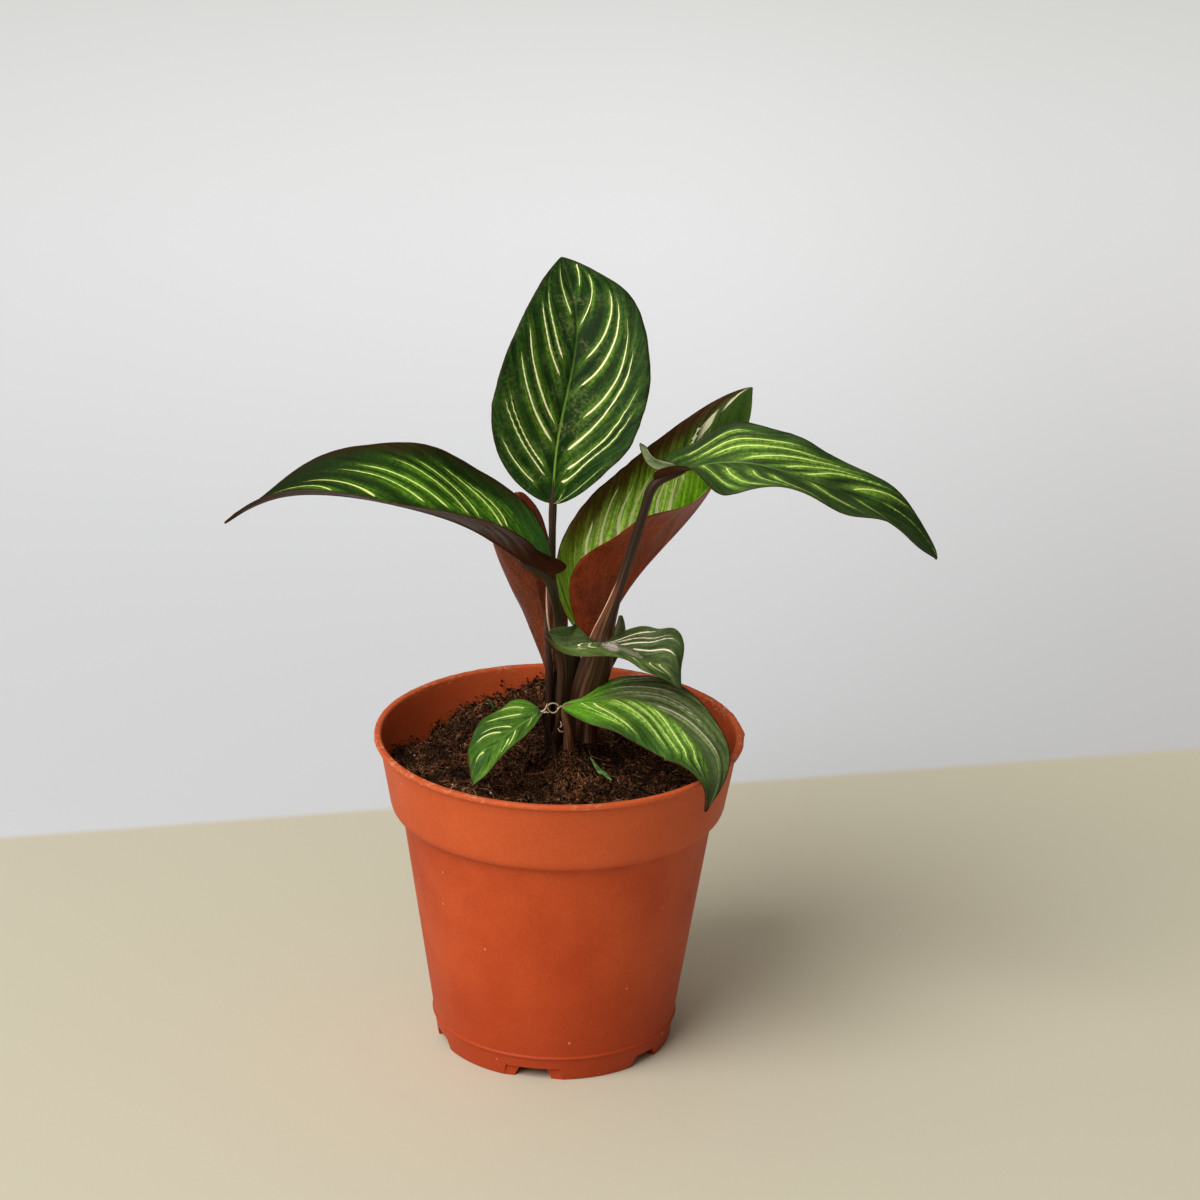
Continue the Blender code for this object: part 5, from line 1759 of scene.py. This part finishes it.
LOW_LEFT_LEAF = {
    "spine": [(-5, -10, 106.6), (-10.5, -14, 104.3), (-17, -20, 101), (-24, -30, 91.6)],
    "face": [(0, -0.08, 1), (-0.16, -0.23, 1), (-0.32, -0.49, 0.8)],
    "half": (6, 9.2),
    "shape": (0.46, 0.93),
    "fold": ([9, 9, 15], [14, 7, 13]),
    "wave": ((0, 3, 0), (0.7, 3, -0.05)),
    "trim": (
        [0.5, 0.62, 0.8, 0.92, 1, 1, 1, 1.03, 1.1, 1.2, 1.2],
        [1.4, 1.16, 1, 1, 1, 1, 1, 0.97, 0.88, 0.8, 0.8],
    ),
    "stripes": (
        [
            (0.10, 0.12, 0.60, 0.24),
            (0.19, 0.34, 0.81, 0.56),
            (0.40, 0.47, 0.72, 0.64),
        ],
        [
            (0.45, 0.10, 0.95, 0.26),
            (0.30, 0.16, 0.83, 0.44),
            (0.08, 0.32, 0.68, 0.53),
            (0.17, 0.43, 0.73, 0.63),
            (0.22, 0.68, 0.48, 0.80),
        ],
    ),
}
LOW_LEFT_STEM = {
    "path": [
        (-4.8, -9.9, 105.4), (-3.4, -9.5, 101.5), (-1.6, -9.2, 97), (-0.6, -9.2, 90), (-0.4, -9.2, 79),
    ],
    "radii": (0.7, 0.75, 0.8),
}
low_left_face = upper_finish(
    "low left leaf face", 71.0, dark=(46, 84, 24), green=(88, 136, 40), glow=(124, 172, 62),
    stripe=(236, 252, 166), width=0.34, glow_width=1.3, pink_share=0.05, veins=(0.6, 1.3),
)
grow("low_left", LOW_LEFT_LEAF, LOW_LEFT_STEM, low_left_face, wine_back, stem_finish("low left petiole"))


# Bract curl and leaf scrap
# A dried, papery bract has curled into a ring where the two lowest leaves branch, with frayed threads
# beside it, and a torn strip of green leaf lies on the soil in front of the stems.

RING_CENTRE = (-1.7, -10.2, 107.8)
RING_RADIUS = 1.55
RING_THICKNESS = 0.24
RING_STEPS = 64
BRACT = (150, 146, 96)
BRACT_PALE = (206, 190, 148)
THREADS = [
    [(-5.2, -10.2, 106.4), (-4, -10.6, 107.4), (-3.5, -10.6, 109.2)],
    [(-4.8, -10.1, 105.8), (-3.6, -10.7, 106.6), (-2.9, -10.7, 106.4)],
    [(-0.4, -10.4, 107.4), (0.4, -10, 108.1), (1.4, -9.8, 108.3)],
    [(0.6, -9.6, 101.6), (0.9, -10.4, 102.6), (0.5, -10.8, 103.8)],
    [(1.2, -9.4, 100), (0.4, -10.4, 100.6), (-0.2, -10.7, 101.6)],
]
THREAD_RADII = (0.3, 0.24, 0.12)
THREAD_ROWS = 12
THREAD_BROWN = (170, 130, 110)
THREAD_PALE = (244, 226, 212)

turn = np.linspace(0.3, 2 * np.pi + 0.25, RING_STEPS)
wobble = RING_RADIUS * (1 + 0.05 * np.sin(3 * turn))
ring_path = np.stack([
    RING_CENTRE[0] + wobble * np.cos(turn),
    RING_CENTRE[1] + 0.12 * np.sin(2 * turn) + 0.25 * np.linspace(-1, 1, RING_STEPS),
    RING_CENTRE[2] + wobble * np.sin(turn),
], -1)
taper = RING_THICKNESS * np.sin(np.linspace(0.5, np.pi - 0.2, RING_STEPS)) ** 0.5
dried = flecked_finish("dried bract", BRACT, BRACT_PALE, 900.0, (0.6, 0.1), roughness=0.7)
curl = add_piece("curled_bract", *strand(ring_path, taper, 12), [dried])
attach(curl, "root")
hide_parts("bract_curl")

points = []
faces = []
for knots in THREADS:
    body, skin = tapered(knots, THREAD_RADII, THREAD_ROWS, 8)
    faces += [tuple(corner + len(points) for corner in face) for face in skin]
    points += body
frayed = flecked_finish(
    "frayed bract", THREAD_BROWN, THREAD_PALE, 1200.0, (0.5, 0.1), roughness=0.7, detail=3.0,
)
threads = add_piece("bract_threads", points, faces, [frayed])
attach(threads, "root")


SCRAP_ENDS = ((9.5, -7.8), (15.8, -13.8))
SCRAP_WIDTH = 1.7
SCRAP_HEIGHT = 0.95
SCRAP_ROWS = 26
SCRAP_COLUMNS = 9
SCRAP_GREEN = (98, 146, 62)
SCRAP_DARK = (44, 84, 30)


def torn_strip():
    """A strip that lies along the soil, humped across and ragged at its sides."""
    start = np.array(SCRAP_ENDS[0])
    end = np.array(SCRAP_ENDS[1])
    across = unit(np.array([start[1] - end[1], end[0] - start[0]])) * SCRAP_WIDTH / 2
    points = {1: [], -1: []}
    for row in range(SCRAP_ROWS):
        share = row / (SCRAP_ROWS - 1)
        middle = start + (end - start) * share
        taper = 0.35 + 0.65 * math.sin(math.pi * share) + 0.18 * noise.noise(Vector((share * 9, 0, 0)))
        for column in range(SCRAP_COLUMNS):
            side = 2 * column / (SCRAP_COLUMNS - 1) - 1
            x, y = middle + side * taper * across
            hump = 0.3 * (1 - side * side) + 0.15 * noise.noise(Vector((x, y, 5.0)))
            for face in points:
                points[face].append((x, y, soil_height(x, y) + SCRAP_HEIGHT + hump + 0.1 * face))
    size = SCRAP_ROWS * SCRAP_COLUMNS
    corner = np.arange(size).reshape(SCRAP_ROWS, SCRAP_COLUMNS)
    a, b = corner[:-1, :-1].ravel(), corner[:-1, 1:].ravel()
    c, d = corner[1:, 1:].ravel(), corner[1:, :-1].ravel()
    rim = np.array([*corner[0, :-1], *corner[:-1, -1], *corner[-1, :0:-1], *corner[:0:-1, 0]])
    following = np.roll(rim, -1)
    faces = np.concatenate([
        np.stack([a, d, c, b], -1),
        np.stack([a, b, c, d], -1) + size,
        np.stack([rim, following, following + size, rim + size], -1),
    ])
    return points[1] + points[-1], faces.tolist()


torn = flecked_finish("torn leaf", SCRAP_GREEN, SCRAP_DARK, 1100.0, (0.6, 0.15), share=(0.4, 0.62))
scrap = add_piece("torn_leaf_strip", *torn_strip(), [torn])
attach(scrap, "root")
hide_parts("leaf_scrap")
